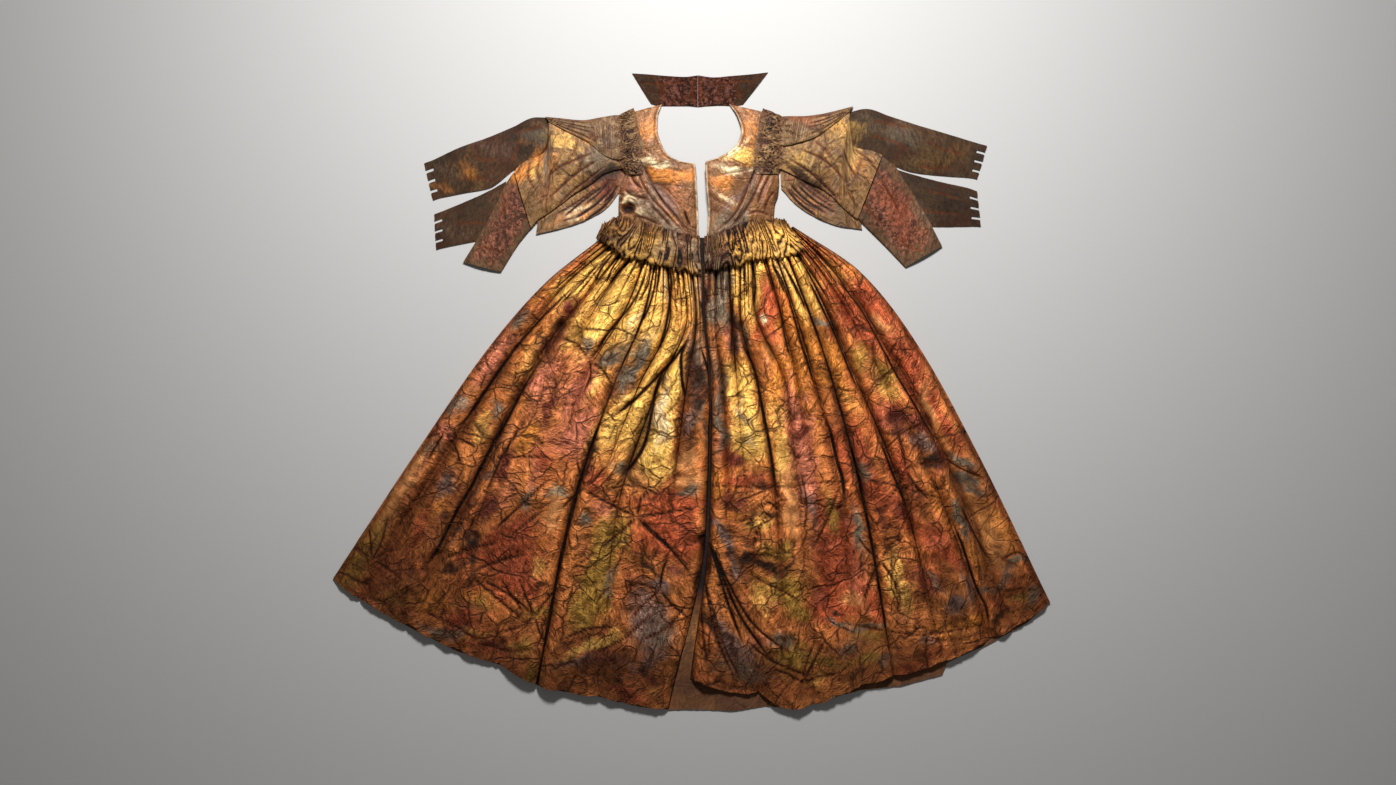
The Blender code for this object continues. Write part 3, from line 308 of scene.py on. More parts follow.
    "olive": """
    -75.8 -36.3 8 2.8 58 .95, -80.3 -42.4 4.2 2.8 40 .9, -19.4 -34.2 7 4 42 .9,
    -22.7 -45.2 8.5 3.3 62 .95, -24.1 -51.8 5.6 3.3 60 .8, 13.3 -10.5 3.3 2.1 0 .4, 20.3 -37 3.8 2.3 0 .9,
    20.3 -45.2 6.1 3.3 0 .8, 23.6 -49.5 4.2 2.8 -60 .8, 23.6 -62.6 6.1 2.8 0 .9, 32.5 -63.6 4.2 2.1 0 .7,
    41.9 -57 4.7 2.3 0 .7, 41.5 -62.4 4.2 1.6 0 .9, -39.6 -60 3.3 2.1 30 .8, -37.2 -65.9 2.8 1.9 60 .9,
    39.1 8.1 4.2 2.3 -58 .8, 45.7 4.6 3.3 1.6 -50 .8, 28.3 20.8 3.3 1.4 -62 .5, 6.5 22.4 2.3 1.2 0 .7,
    32.8 -28.3 6.1 1.4 -76 .8, -48.3 -49 3.8 1.9 0 .7, -36.5 -51.8 3.8 1.6 0 .8, 77.4 -49.2 3.8 1.4 30 .8,
    -62.6 -41.9 4.7 1.4 50 .3, -12.1 9.8 4.7 1.9 60 .3, -12.1 37.5 7 2.3 0 .4, -30.9 53.2 8 5.2 -20 .3,
    30.2 52.1 8 5.2 30 .4, -52.1 49.7 9.4 3.8 -20 .3, 56 54.4 10.3 3.8 15 .4, 22 38 3.3 2.8 0 .5,
    -12.1 -54.2 4.7 1.9 60 .4, 11.4 -58.4 7 1.9 -50 .3, -16.8 2.7 7 1.2 60 .4""",
    "mauve": """
    10.7 10.2 2.8 1.2 88 .9, -1.3 -7.4 4.2 2.1 80 .9, .6 6 8 2.1 88 .8, -9.5 -56 7.5 4.7 -72 .9,
    -10.9 -50.4 4.7 2.8 -60 .7, -6.7 -45.7 3.3 1.6 -40 .9, 7.4 -33.5 4.2 1.4 -66 .95,
    10.5 -39.8 4.7 1.4 -66 .9, 8.1 -58.4 7 2.8 -60 .8, 12.8 -62.4 5.6 2.1 -48 .7,
    62.9 -50.4 2.6 2.1 -60 .95, 65.7 -46.2 5.2 1.6 -70 .95, 54.6 -11.6 3.1 2.1 -60 .9,
    26.2 -26.7 5.2 1.6 -84 .6, -27.8 -63.6 5.2 1.4 10 .8, 54.6 -58.6 2.8 .9 8 .8,
    -57.2 -21.3 3.3 2.1 60 .9, -48.8 -21.3 5.6 .7 60 .8, -54.9 -32.1 6.1 .6 60 .7,
    -43.8 -11.4 4.7 .7 60 .5, -40.8 16.8 4.2 1.9 50 .5, -54.4 -2 4.7 1.9 55 .5, -6.2 43.8 5.2 2.3 -20 .4,
    10.2 43.1 3.8 1.9 0 .4, -45.7 57.2 5.6 2.3 -14 .5, -56.8 51.6 4.7 2.8 -10 .4, -55.6 37.5 4.7 2.3 0 .4,
    6.7 -6.7 7 1.6 88 .5, -12.1 -63.6 4.7 1.4 10 .6, -6.9 45 9.9 .9 -56 .75, 10.9 45.5 9.9 .9 58 .75,
    -14.5 47.4 4.2 1.2 -60 .5, 18 46.9 4.7 .9 75 .4, 2 23.9 6.1 2.3 88 .7""",
    # pale: the first row, on the bodice front, is painted highlights of the satin bands; the other spots are
    # pale stains.
    "pale": """
    -8.3 53.9 4 .9 -2 .95, 10.2 52.1 4 1.1 8 .85, 7.6 45.2 2.8 1.1 -25 .5, 10.2 56.3 3.3 .9 35 .7,
    -6.5 -2.9 7.5 1.6 84 .7, -6.5 21.5 5.2 1.4 84 .35, -13 16.3 5.2 1.4 62 .5, -21.5 21.5 5.6 1.4 50 .35,
    -31.6 -22.9 1.6 1.2 0 .6, 17 17.3 1.6 .9 -20 .95, -7.4 -10.9 4.2 1.4 80 .4, 12.3 -2.5 3.3 1.2 -80 .5,
    14.2 -11.4 2.8 1.2 -80 .4, -5.1 25 3.3 .9 88 .4, -12.1 43.8 2.8 2.3 60 .4, 16.1 48.5 2.8 1.4 90 .4,
    -27.1 41.9 3.3 .7 12 .6, -20.6 43.8 4.7 .9 25 .4, -19.2 59.8 1.9 1.9 0 .4, -15.6 8.3 4.7 .6 58 .5,
    22.2 29 3.8 .9 -64 .4, -12.8 43.1 1.4 .7 40 .8, -14.9 45.5 1.9 .7 10 .7, .4 25.3 1.6 1.2 0 .4""",
    "grey": """
    -40.8 17 3.5 2.1 50 .85, -45.2 -4.1 2.6 2.1 60 .85, -55.8 -3.2 3.1 2.1 30 .85,
    -24.3 11.2 2.3 1.9 50 .85, -18.2 8.1 3.5 1.9 30 .9, -12.6 6.9 8.9 1.6 60 1, 6 26.4 4.7 1.9 88 .9,
    6.5 19.4 3.5 2.3 85 .85, 1.1 9.8 5.2 1.9 88 .7, 6.7 -6.9 7.5 1.6 88 .95, -31.6 -23.4 2.6 1.4 40 .8,
    -25.3 -29.7 2.3 1.9 0 .9, -37.7 -26 2.8 1.9 50 .8, -1.3 -23.4 3.5 1.1 0 .95, 13 -4.8 2.3 .9 -60 .7,
    30.2 15.4 2.1 1.2 -5 1, 39.8 -18.9 2.8 2.1 -70 .8, 63.3 -16.6 3.8 .9 -20 .95, 64.5 -20.3 4 1.2 -5 1,
    66.4 -23.1 3.8 1.2 -10 .8, 63.3 -30.2 4 1.6 -62 1, 76.3 -40.8 3.8 1.2 38 .95, 71.1 -45.9 2.8 .9 35 .9,
    80.7 -47.4 3.3 1.9 40 .85, 39.4 -32.1 6.1 1.4 -80 .9, 34.7 -53.2 3.1 .9 -5 .9, 41 -55.6 4.2 .9 -8 .8,
    35.8 -61.7 2.8 1.9 0 .7, 45.7 -63.3 2.3 1.4 0 .7, 21.3 -58.4 3.8 1.9 0 .8, -3.6 33.3 5.6 2.8 0 .7,
    -16.3 36.1 4.2 2.1 30 .5, 7.2 22.4 8.5 2.6 88 .8, 11.9 -65.4 5.6 1.6 -12 .8,
    -58.6 -56.3 4.7 1.4 -18 .9, -18.2 -45.7 4.7 1.2 85 .7, -6.7 -55.6 4.7 2.1 0 .5,
    -16.8 -17.5 2.1 1.6 40 .8, 57.7 -44.8 4.2 .9 -42 .7, 6.7 -61.9 3.3 2.1 0 .5, 2.5 -2 11.8 .9 87 .6,
    -34.4 12.1 1.9 1.4 0 .4, -61 -14.2 3.8 2.1 40 .6, -37.5 60.3 3.8 1.4 -10 .7, -33.5 52.8 3.3 .7 70 .7,
    -22.2 56.8 3.3 2.1 0 .5, -21 53.2 3.8 1.9 10 .5, -31.1 63.3 3.3 1.2 -10 .8, -20.8 63.3 3.3 1.4 0 .7,
    -12.1 42.2 3.3 2.3 0 .5, -5.5 39.1 5.6 1.9 -40 .7, 7.9 40.3 4.2 2.8 40 .7, 25.5 61.5 4.7 1.4 10 .5,
    44.3 62.6 8 1.9 -16 .5, 50.2 61 4.7 2.1 0 .5, 54.9 41.5 4.7 2.3 -50 .5, 2 30.4 3.8 2.3 90 .8,
    2 34.2 3.3 2.8 0 .7, -8.8 45 9.9 1.2 -58 .6, 12.3 44.5 8.9 1.2 60 .6, -23.9 53 2.8 3.3 30 .5,
    -29.5 45.9 3.3 1.9 -35 .5, 27.4 53.2 3.3 2.1 40 .5, 33.5 48.3 3.1 2.3 50 .45, -34.4 57.7 2.1 3.3 0 .5,
    -7.4 33.3 3.3 1.9 0 .5, 5.8 4.6 6.1 1.6 88 .6, -5.5 -58.4 4.7 1.9 0 .4, 37.2 -58.4 4.7 1.9 0 .4,
    11.9 13.3 3.8 .9 -70 .7""",
    # Black stains, and painted shadow in the dark hollows of the folds and in the front opening between the
    # skirt halves.
    "soot": """
    29 62.9 4.2 .7 -25 .9, -18.7 34.9 2.8 1.2 20 .7, -12.1 31.4 3.8 .9 5 .6, -5.5 30.4 3.3 1.2 0 .6,
    -8.6 35.6 2.3 .9 30 .5, -30.9 14.7 2.6 1.9 60 1, -24.3 -16.1 4.7 1.2 62 1, -58.6 -29.5 2.1 1.6 0 .85,
    -51.6 -34.9 2.3 1.4 40 .95, -56.3 -41 3.8 1.2 30 .85, -50.9 -38.9 2.1 .9 80 .85,
    -50.9 -44.3 2.6 .9 80 .75, 56 -15.9 2.1 2.1 0 1, 40.8 -18.2 1.9 1.4 0 .7, -11.9 -67.1 1.9 1.4 0 .95,
    -23.4 -67.3 1.9 1.4 0 .6, -10.2 -41 4.2 .8 -40 .9, 13 -39.6 3.3 1.6 -15 .9, 18.2 -40.3 3.3 1.2 -22 .9,
    22.9 -41 2.1 .9 30 .85, 14.2 -29.7 2.6 .7 60 .8, 17.7 -27.4 2.6 .7 -5 .8, 1.1 2.9 3.8 1.9 85 .85,
    1.3 -2.5 2.3 1.4 70 .8, 5.3 -55.6 6.6 1.4 -66 .8, 8.8 -58.9 7.5 .9 -62 .7, 72.3 -53 2.8 .9 50 .9,
    34.7 -53.2 2.3 .6 -5 .9, 39.6 -66.4 3.1 1.2 30 .7, 64.3 -33.3 1.4 1.2 0 .5, 3.4 -38.4 6.1 1.2 84 .95,
    1.5 -43.1 4.2 .9 70 .8, 2.9 21.5 9.9 .9 89 .9, 1.3 10.9 2.3 .7 60 .5, 10.9 17.3 2.8 .7 0 .9,
    10.2 12.6 3.8 .7 88 .8, -1.3 31.4 2.3 1.4 0 .5, -19.2 35.6 2.3 1.4 0 .5, 7.9 31.8 1.9 1.2 0 .8,
    -20.8 50.6 4.2 1.4 28 .95, 26.9 49.7 5.2 1.1 -30 .9, -19.2 48.3 1.4 1.9 0 .7,
    -29.7 62.6 4.2 .6 -25 .8, -22.7 60.3 3.3 .7 -30 .8, 21.7 61.9 3.3 .9 10 .6, .4 -11.4 2.8 2.3 80 .6,
    6.7 -70.1 5.6 .9 -8 .7, -42.2 -43.1 1.2 .9 0 .5, -40.3 -51.3 1.6 1.2 0 .5, -1.8 31.6 1.9 1.9 0 .5""",
    # Painted shade: soft dark shade along the broad valleys and creases, and darker towards the hem and the
    # lower corners, where the light falls off.
    "shade": """
    -72 -40.8 18.8 10.8 57 .95, -56.8 -55.6 23.5 6.1 -26 .8, -16.8 -68.3 23.5 5.6 0 .85,
    39.6 -65 25.8 4.7 8 .65, 73.7 -49 11.8 4.7 20 .75, -49.7 -39.6 14.1 9.4 40 .4,
    -30.9 -58.4 14.1 6.1 -20 .35, -.1 -76 89.3 14.1 0 .6, 73.7 -36.1 21.1 6.1 -60 .6,
    -81.4 -46.6 14.1 9.4 30 .6, 76 -46.6 14.1 9.4 -40 .45, -30.9 -70.1 32.9 5.2 10 .45,
    -15.6 34.2 9.4 3.3 0 .45, -45 6 8.5 1.4 60 .9, -53.9 -9.5 8.5 1.6 60 .9, -61.5 -22.2 8 1.9 58 .9,
    -69 -33 7 2.1 58 .95, -74.8 -42.4 6.1 2.1 58 1, -37.5 4.1 7 1.2 60 .6, -45 -9 8.5 1.4 62 .85,
    -51.1 -20.3 6.6 1.9 60 .95, -55.6 -28.8 6.1 2.1 60 .95, -59.8 -37.7 5.6 1.9 58 .9,
    -63.8 -42.9 3.3 2.1 40 .7, -13.5 -15.2 8 1.6 62 1, -9.3 -7.6 4.7 .9 76 .8, -27.8 -58.9 7.5 .9 28 .95,
    -20.8 -55.3 5.2 .9 36 .9, -.4 4.1 6.6 1.6 88 .8, -1.3 -11.4 3.8 1.9 75 .7, 9.8 12.6 6.1 .9 88 .8,
    11.9 14 4.7 .9 -74 .8, 34.4 -4.3 11.3 1.4 -72 .8, 37.2 -15.2 7 1.2 -75 .8, 24.1 9.3 8 .7 -77 .5,
    50.2 -25 8 1.4 -62 .7, 53.9 -26.4 6.1 1.4 -58 .8, 44.5 -32.5 9.9 1.2 -72 .8, 60.7 -44.3 7 1.9 -60 .7,
    69 -43.1 9.9 .9 -66 .8, 54.2 -47.1 4.2 2.6 -40 .7, 47.1 -58.4 6.6 1.9 -25 .7,
    -22.9 -64.3 7.5 1.9 5 .8, -18.2 -61.9 4.7 2.1 10 .6, 10.2 -49 9.9 1.6 -62 .8,
    6.7 -63.6 6.1 2.3 -40 .7, 19.6 -65.9 6.6 2.1 -20 .6, 35.4 -60.7 4.7 2.8 0 .6, 25.5 -71.8 10.8 .9 4 .6,
    40.1 -67.1 7.5 1.2 12 .7, 56 -61.2 10.3 .8 9 .7, -59.1 -58.4 8 1.2 -27 .8, -49.7 -62.2 7.5 .9 -18 .7,
    -40.3 -65 5.2 1.2 -18 .6, -67.1 -53.2 4.7 1.2 -28 .8, -30.9 -47.1 4.7 .9 72 .6,
    -12.1 -39.6 4.2 .9 -45 .5, 15.4 -39.6 6.1 2.1 -12 .6, -33.7 9.8 6.1 1.6 60 .6,
    -49.7 -45.5 5.6 1.4 20 .5, -40.3 -54.9 7 1.4 -8 .4, -7.4 -70.1 7 1.2 0 .4, 79.5 -50.4 3.8 1.4 35 .6,
    -45 56.8 .9 3.8 12 .3, -33.7 59.1 .7 4.2 0 .4, -41.9 56.3 .6 3.8 8 .4, -12.1 41.5 7 1.2 -50 .5,
    12.6 42.7 7 .9 60 .5, 3.4 -30.2 16.4 .9 88 .6, -16.3 14.5 9.4 .7 62 .5""",
}
stains = {name: readTable(text, 6) for name, text in stains.items()}


def stainAndShadeAttributes(x, y, z, paintedShade, border):  # colours of four values each, for the materials to read: the stains, the painted shade in folds, the painted highlight on ridges, the painted shade in hollows and the border
    found = {name: spread(x, y, spots, 10 * number + 5, 0.35 if name == "shade" else 0.8)
             for number, (name, spots) in enumerate(stains.items())}
    # Places raised above their surroundings get a painted highlight, sunk places painted shade.
    relief = (z - blurred(z, x, y, cloth["reliefSize"])) / cloth["reliefHeight"]
    lie = [paintedShade, np.clip(relief, 0, 1), np.clip(-relief, 0, 1), border]
    values = {label: np.stack([found[name] for name in names], -1) for label, names in stainAndShadeSets.items()}
    values["clothLie"] = np.stack([part + 0 * x for part in lie], -1)
    return values


# Cloth: every piece is a grid of points that gets a wall and lies on the pieces below it

trees = {}  # the upper side of each piece, for the next ones to lie on


def growMost(field):  # each place takes the most of its neighbours
    wide = np.pad(field, 1, mode="edge")
    rows, columns = field.shape
    return np.max([wide[i:i + rows, j:j + columns] for i in range(3) for j in range(3)], axis=0)


def restingHeight(x, y, below):  # the lowest that the underside may be
    need = np.zeros(x.shape)
    flat = need.ravel()
    places = list(zip(x.ravel().tolist(), y.ravel().tolist()))
    for name in below:
        for index, (px, py) in enumerate(places):
            hit = trees[name].ray_cast((px, py, 20.0), (0.0, 0.0, -1.0))[0]
            if hit:
                flat[index] = max(flat[index], hit.z + cloth["gap"])
    return growMost(need) if below else need


def makeCloth(name, place, silk, below=(), paintedShade=0.0, border=0.0, cutAway=None):
    x, y, z = place
    rows, columns = x.shape
    along = np.stack([np.gradient(part, axis=1) for part in place], -1)
    across = np.stack([np.gradient(part, axis=0) for part in place], -1)
    normal = np.cross(along, across)
    upward = np.abs(normal[..., 2]) / (np.linalg.norm(normal, axis=-1) + 1e-9)
    under = z - cloth["wall"] / np.maximum(upward, cloth["steepest"])
    need = restingHeight(x, y, below)
    if below:
        bend = np.sqrt((under - need) ** 2 + cloth["soften"] ** 2 * (need > 0))
        under = 0.5 * (under + need + bend)
    under = np.maximum(under, need)
    z = np.maximum(z, under + cloth["wall"])
    # The darkness given for folds and creases is painted shade.
    values = stainAndShadeAttributes(x, y, z, np.clip(paintedShade, 0, 1), border)
    lay = np.stack([np.cumsum(np.linalg.norm(along, axis=-1), axis=1) * centimetre,
                    np.cumsum(np.linalg.norm(across, axis=-1), axis=0) * centimetre, 0 * x], -1)

    panel = bmesh.new()
    bmesh.ops.create_grid(panel, x_segments=columns - 1, y_segments=rows - 1, size=1.0)
    floor = panel.verts.layers.float.new("floor")
    thread = panel.verts.layers.float_vector.new("threadLay")
    layers = [(panel.verts.layers.float_color.new(key), value.reshape(-1, 4).tolist())
              for key, value in values.items()]
    points = np.stack([x, y, z], -1).reshape(-1, 3).tolist()
    floors, lays = under.ravel().tolist(), lay.reshape(-1, 3).tolist()
    for index, vertex in enumerate(panel.verts):
        vertex.co = points[index]
        vertex[floor] = floors[index]
        vertex[thread] = lays[index]
        for layer, listed in layers:
            vertex[layer] = listed[index]
    if cutAway is not None:
        gone = [face for index, face in enumerate(panel.faces)
                if cutAway[index // (columns - 1), index % (columns - 1)]]
        bmesh.ops.delete(panel, geom=gone, context="FACES")
    trees[name] = BVHTree.FromBMesh(panel)
    wall = bmesh.ops.extrude_face_region(panel, geom=panel.faces[:])
    for item in wall["geom"]:
        if isinstance(item, bmesh.types.BMVert):
            item.co.z = item[floor]
    bmesh.ops.scale(panel, vec=[centimetre] * 3, verts=panel.verts[:])
    bmesh.ops.recalc_face_normals(panel, faces=panel.faces[:])
    mesh = bpy.data.meshes.new(name)
    panel.to_mesh(mesh)
    panel.free()
    mesh.attributes.remove(mesh.attributes["floor"])
    mesh.materials.append(silks[silk])
    mesh.shade_smooth()
    mesh.set_sharp_from_angle(angle=math.radians(cloth["sharpAngle"]))
    piece = bpy.data.objects.new(name, mesh)
    bpy.context.scene.collection.objects.link(piece)
    return piece


def declare(piece, flat):  # for the frame
    node = "".join("_" + letter.lower() if letter.isupper() else letter for letter in piece.name)
    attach(piece, "root")
    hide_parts(node)
    faces = piece.data.polygons
    shown = sum(face.area for face in faces) / 2  # one side of the closed shell
    print(f"{piece.name}: {len(faces) * 2} triangles, {shown:.3f} m2, cut {flat}")


def betweenRungs(rungs, at, across):  # x and y over rungs, and their two heights and rise
    x1, y1, x2, y2, *heights = (curveThrough(range(len(rungs)), column, at)[None, :] for column in rungs.T)
    return x1 + (x2 - x1) * across, y1 + (y2 - y1) * across, *heights


def ladder(rungs, columns, rows):  # a panel over rungs, bowed up between their ends
    across = np.linspace(0, 1, rows)[:, None]
    x, y, z1, z2, rise = betweenRungs(rungs, np.linspace(0, len(rungs) - 1, columns), across)
    return x, y, z1 + (z2 - z1) * across + rise * np.sin(np.pi * across) ** 0.75


# Materials

def addNode(tree, kind, links=(), **settings):
    node = tree.nodes.new("ShaderNode" + kind)
    for key, value in settings.items():
        setattr(node, key, value)
    for key, value in dict(links).items():
        socket = node.inputs[key]
        if isinstance(value, bpy.types.NodeSocket):
            tree.links.new(value, socket)
        else:
            socket.default_value = (*value, 1) if socket.type == "RGBA" else value
    return node


def mixColours(tree, factor, first, second, blend="MIX"):
    links = {0: factor, 6: first, 7: second}
    return addNode(tree, "Mix", links, data_type="RGBA", blend_type=blend, clamp_factor=True).outputs[2]


def multiplied(tree, colour, other):
    return mixColours(tree, 1.0, colour, other, "MULTIPLY")


def mixValues(tree, factor, first, second):
    return addNode(tree, "Mix", {0: factor, 2: first, 3: second}, data_type="FLOAT").outputs[0]


def reckon(tree, operation, first, second=0.0, clamp=False):
    return addNode(tree, "Math", {0: first, 1: second}, operation=operation, use_clamp=clamp).outputs[0]


def times(tree, first, second, clamp=False):
    return reckon(tree, "MULTIPLY", first, second, clamp)


def offMiddle(tree, value):  # how far a value is from one half
    return reckon(tree, "ABSOLUTE", reckon(tree, "SUBTRACT", value, 0.5))


def remap(tree, value, low, high, start=0.0, end=1.0, shape="LINEAR"):  # low to high becomes start to end
    links = {0: value, 1: low, 2: high, 3: start, 4: end}
    return addNode(tree, "MapRange", links, interpolation_type=shape).outputs[0]


def noiseAt(tree, vector, scale, detail, distortion=0.0, roughness=0.55):
    links = {"Vector": vector, "Scale": scale, "Detail": detail, "Distortion": distortion,
             "Roughness": roughness}
    return addNode(tree, "TexNoise", links).outputs["Fac"]


def vectors(tree, operation, *parts):
    return addNode(tree, "VectorMath", dict(enumerate(parts)), operation=operation).outputs[0]


def readAttribute(tree, name, output="Vector"):
    return addNode(tree, "Attribute", attribute_name=name).outputs[output]


def splitColour(tree, colour):
    return addNode(tree, "SeparateColor", {0: colour}).outputs


def turnedBy(tree, vector, angle):
    links = {"Vector": vector, "Angle": angle}
    return addNode(tree, "VectorRotate", links, rotation_type="Z_AXIS").outputs[0]


def makeGroup(name, given, made):  # inputs with their values, and the names of the outputs
    group = bpy.data.node_groups.new(name, "ShaderNodeTree")
    for label, value in given.items():
        kind = "NodeSocketColor" if label == "Cloth" else "NodeSocketFloat"
        group.interface.new_socket(name=label, in_out="INPUT", socket_type=kind).default_value = value
    for label in made:
        kind = "NodeSocketColor" if label == "Colour" else "NodeSocketFloat"
        group.interface.new_socket(name=label, in_out="OUTPUT", socket_type=kind)
    return group, group.nodes.new("NodeGroupInput").outputs


def finishGroup(group, **results):
    made = group.nodes.new("NodeGroupOutput")
    for label, value in results.items():
        group.links.new(value, made.inputs[label])
    return group


colours = {
    "rose": (0.45, 0.135, 0.070), "orange": (0.50, 0.172, 0.030), "rust": (0.32, 0.062, 0.022),
    "tan": (0.43, 0.175, 0.056), "gold": (0.72, 0.400, 0.088), "olive": (0.27, 0.140, 0.024),
    "maroon": (0.125, 0.026, 0.015), "mauve": (0.185, 0.105, 0.078), "pale": (0.70, 0.53, 0.30),
    "grey": (0.142, 0.106, 0.068), "soot": (0.014, 0.009, 0.006), "shade": (0.030, 0.008, 0.003),
    # Painted shade: the colours of the fold bottoms and their edges below, of the soft valleys (shade, above)
    # and of the small creases (last); gloom is a random darker tone.
    "fold": (0.005, 0.002, 0.001), "foldEdgeShade": (0.10, 0.022, 0.005),
    "gloom": (0.060, 0.016, 0.006), "creaseShade": (0.045, 0.012, 0.004),
}
stainAndShadeOrder = ("rose", "orange", "rust", "tan", "gold", "olive", "maroon", "mauve", "pale", "grey", "soot")
bumps = {"crinkle": 0.0024, "grain": 0.0007, "weave": 0.0002}  # heights in metres


def stainAndShadeGroup():  # lays the stains over a cloth's own colour, with broken edges, then painted highlight on raised places and painted shade in hollows, soft valleys and folds
    group, given = makeGroup("oldStains", {"Cloth": (0.5, 0.3, 0.1, 1), "Strength": 1.0},
                             ("Colour", "Darkness", "Smooth"))
    place = vectors(group, "MULTIPLY", readAttribute(group, "threadLay"), (1, 0.45, 1))
    blotch = noiseAt(group, place, 24, 4, 0.6, 0.6)
    fleck = noiseAt(group, place, 170, 4, 0.8, 0.65)
    breakUp = reckon(group, "ADD", times(group, reckon(group, "SUBTRACT", blotch, 0.5), 0.9),
                     times(group, reckon(group, "SUBTRACT", fleck, 0.5), 1.5))
    amounts = {}
    for label, names in stainAndShadeSets.items():
        found = addNode(group, "Attribute", attribute_name=label).outputs
        parts = splitColour(group, found["Color"])
        amounts.update(zip(names, (parts[0], parts[1], parts[2], found["Alpha"])))
    deep, raised, sunk = splitColour(group, readAttribute(group, "clothLie", "Color"))
    colour = given["Cloth"]
    for name in stainAndShadeOrder:
        edge = reckon(group, "ADD", times(group, amounts[name], 0.92), times(group, breakUp, 0.42))
        edge = reckon(group, "MINIMUM", edge, times(group, amounts[name], 3.0))
        shown = times(group, remap(group, edge, 0.14, 0.80, shape="SMOOTHSTEP"), given["Strength"], True)
        colour = mixColours(group, shown, colour, colours[name])
    colour = multiplied(group, colour, remap(group, fleck, 0.35, 0.68, 0.80, 1.16))
    # Painted highlight: raised places lighter.
    colour = multiplied(group, colour, remap(group, raised, 0.1, 1.0, 1.0, 1.45))
    # Painted shade: hollows, the soft valleys of the shade list, the edges and the bottoms of folds.
    for amount, low, high, most, share, dark in (
            (sunk, 0.1, 1.0, 0.7, 0.7, "foldEdgeShade"), (amounts["shade"], 0.05, 1.0, 0.88, 0.86, "shade"),
            (deep, 0.04, 0.5, 0.9, 0.82, "foldEdgeShade"), (deep, 0.32, 0.75, 0.99, 1.0, "fold")):
        darker = colours[dark] if share == 1 else mixColours(group, share, colour, colours[dark])
        colour = mixColours(group, remap(group, amount, low, high, 0.0, most), colour, darker)
    dark = reckon(group, "MAXIMUM", reckon(group, "MAXIMUM", deep, amounts["shade"]), amounts["soot"])
    return finishGroup(group, Colour=colour, Darkness=dark, Smooth=amounts["tan"])


crinkleFaces = (  # large and small: scale, crease width, share, seed, bend, fineness and reach of streaks
    (8.5, 0.030, 0.7, 0.0, 0.03, 76, (0.0, 0.11, 1.0, 0.0)),
    (21.0, 0.050, 0.45, 3.7, 0.014, 120, (0.0, 0.07, 0.0, 1.0)),
)


def crinkleGroup():  # crumpled silk: faces with their own streaks and painted light, each face a little lighter or darker, and creases between them
    group, given = makeGroup("silkCrinkle", {"Size": 1.0, "Sharpness": 0.5},
                             ("Height", "Creases", "Raised", "Tone"))
    scaled = addNode(group, "VectorMath", {0: readAttribute(group, "threadLay")}, operation="SCALE")
    group.links.new(given["Size"], scaled.inputs["Scale"])
    scaled = scaled.outputs[0]
    bend = addNode(group, "TexNoise", {"Vector": scaled, "Scale": 16.0, "Detail": 3.0}).outputs["Color"]
    bend = vectors(group, "SUBTRACT", bend, (0.5, 0.5, 0.5))

    def bentBy(amount, seed):
        bent = vectors(group, "MULTIPLY_ADD", bend, [amount] * 3, scaled)
        return vectors(group, "ADD", bent, (seed, seed, 0))

    creases, lips, slopes, faceLight, streaks = 0.0, 0.0, 0.0, 1.0, None
    for scale, width, share, seed, amount, fineness, reach in crinkleFaces:
        moved = bentBy(amount, seed)
        face = addNode(group, "TexVoronoi", {"Vector": moved, "Scale": scale}).outputs
        own = splitColour(group, face["Color"])
        border = addNode(group, "TexVoronoi", {"Vector": moved, "Scale": scale}, feature="DISTANCE_TO_EDGE")
        border = border.outputs["Distance"]
        shown = remap(group, noiseAt(group, moved, scale * 0.9, 2), 0.44, 0.54)
        line = times(group, remap(group, border, 0.0, width, 1.0, 0.0), shown)
        lip = times(group, remap(group, border, width, 4 * width, 1.0, 0.0), shown)
        creases, lips = reckon(group, "MAXIMUM", creases, line), reckon(group, "MAXIMUM", lips, lip)
        angle = times(group, own[0], 6.28)
        drawn = vectors(group, "MULTIPLY", turnedBy(group, moved, angle), (1, 0.2, 1))
        ridge = remap(group, offMiddle(group, noiseAt(group, drawn, fineness, 4, 0.7)), *reach)
        ridge = times(group, ridge, remap(group, own[1], 0.0, 1.0, 0.3, 1.0))
        streaks = ridge if streaks is None else mixValues(group, 0.42, streaks, ridge)
        local = turnedBy(group, vectors(group, "SUBTRACT", moved, face["Position"]), angle)
        ramp = addNode(group, "SeparateXYZ", {0: local}).outputs[0]
        inner = remap(group, border, 0.0, 0.14)
        slopes = reckon(group, "ADD", slopes, times(group, times(group, ramp, inner), 26.0 * share))
        # Painted light: each face lighter or darker at random, as tilted faces catch the lamp.
        lighter = remap(group, own[2], 0.0, 1.0, 1 - 0.28 * share, 1 + 0.28 * share)
        faceLight = times(group, faceLight, mixValues(group, inner, 1.0, lighter))
    foil = offMiddle(group, noiseAt(group, bentBy(0.03, 7.1), 105, 4, 0.8, 0.6))
    foil = remap(group, foil, 0.0, 0.2, 1.0, 0.0)
    raised = mixValues(group, 0.25, streaks, foil)
    height = reckon(group, "ADD", reckon(group, "ADD", raised, slopes), times(group, lips, 0.5))
    height = reckon(group, "SUBTRACT", height, times(group, creases, given["Sharpness"]))
    return finishGroup(group, Height=height, Creases=creases, Raised=raised, Tone=faceLight)


def weaveGroup():  # threads that follow the cloth
    group, given = makeGroup("silkWeave", {"Threads": 900.0, "Satin": 0.7}, ("Height",))
    lay = readAttribute(group, "threadLay")
    links = {"Vector": lay, "Scale": times(group, given["Threads"], 0.31), "Distortion": 0.6, "Detail": 1.0}
    warp, weft = (addNode(group, "TexWave", links, wave_type="BANDS", bands_direction=way).outputs["Fac"]
                  for way in ("X", "Y"))
    return finishGroup(group, Height=mixValues(group, given["Satin"], weft, warp))


groups = {"stains": stainAndShadeGroup(), "crinkle": crinkleGroup(), "weave": weaveGroup()}


def useGroup(tree, name, **values):
    node = tree.nodes.new("ShaderNodeGroup")
    node.node_tree = groups[name]
    for key, value in values.items():
        node.inputs[key].default_value = value
    return node


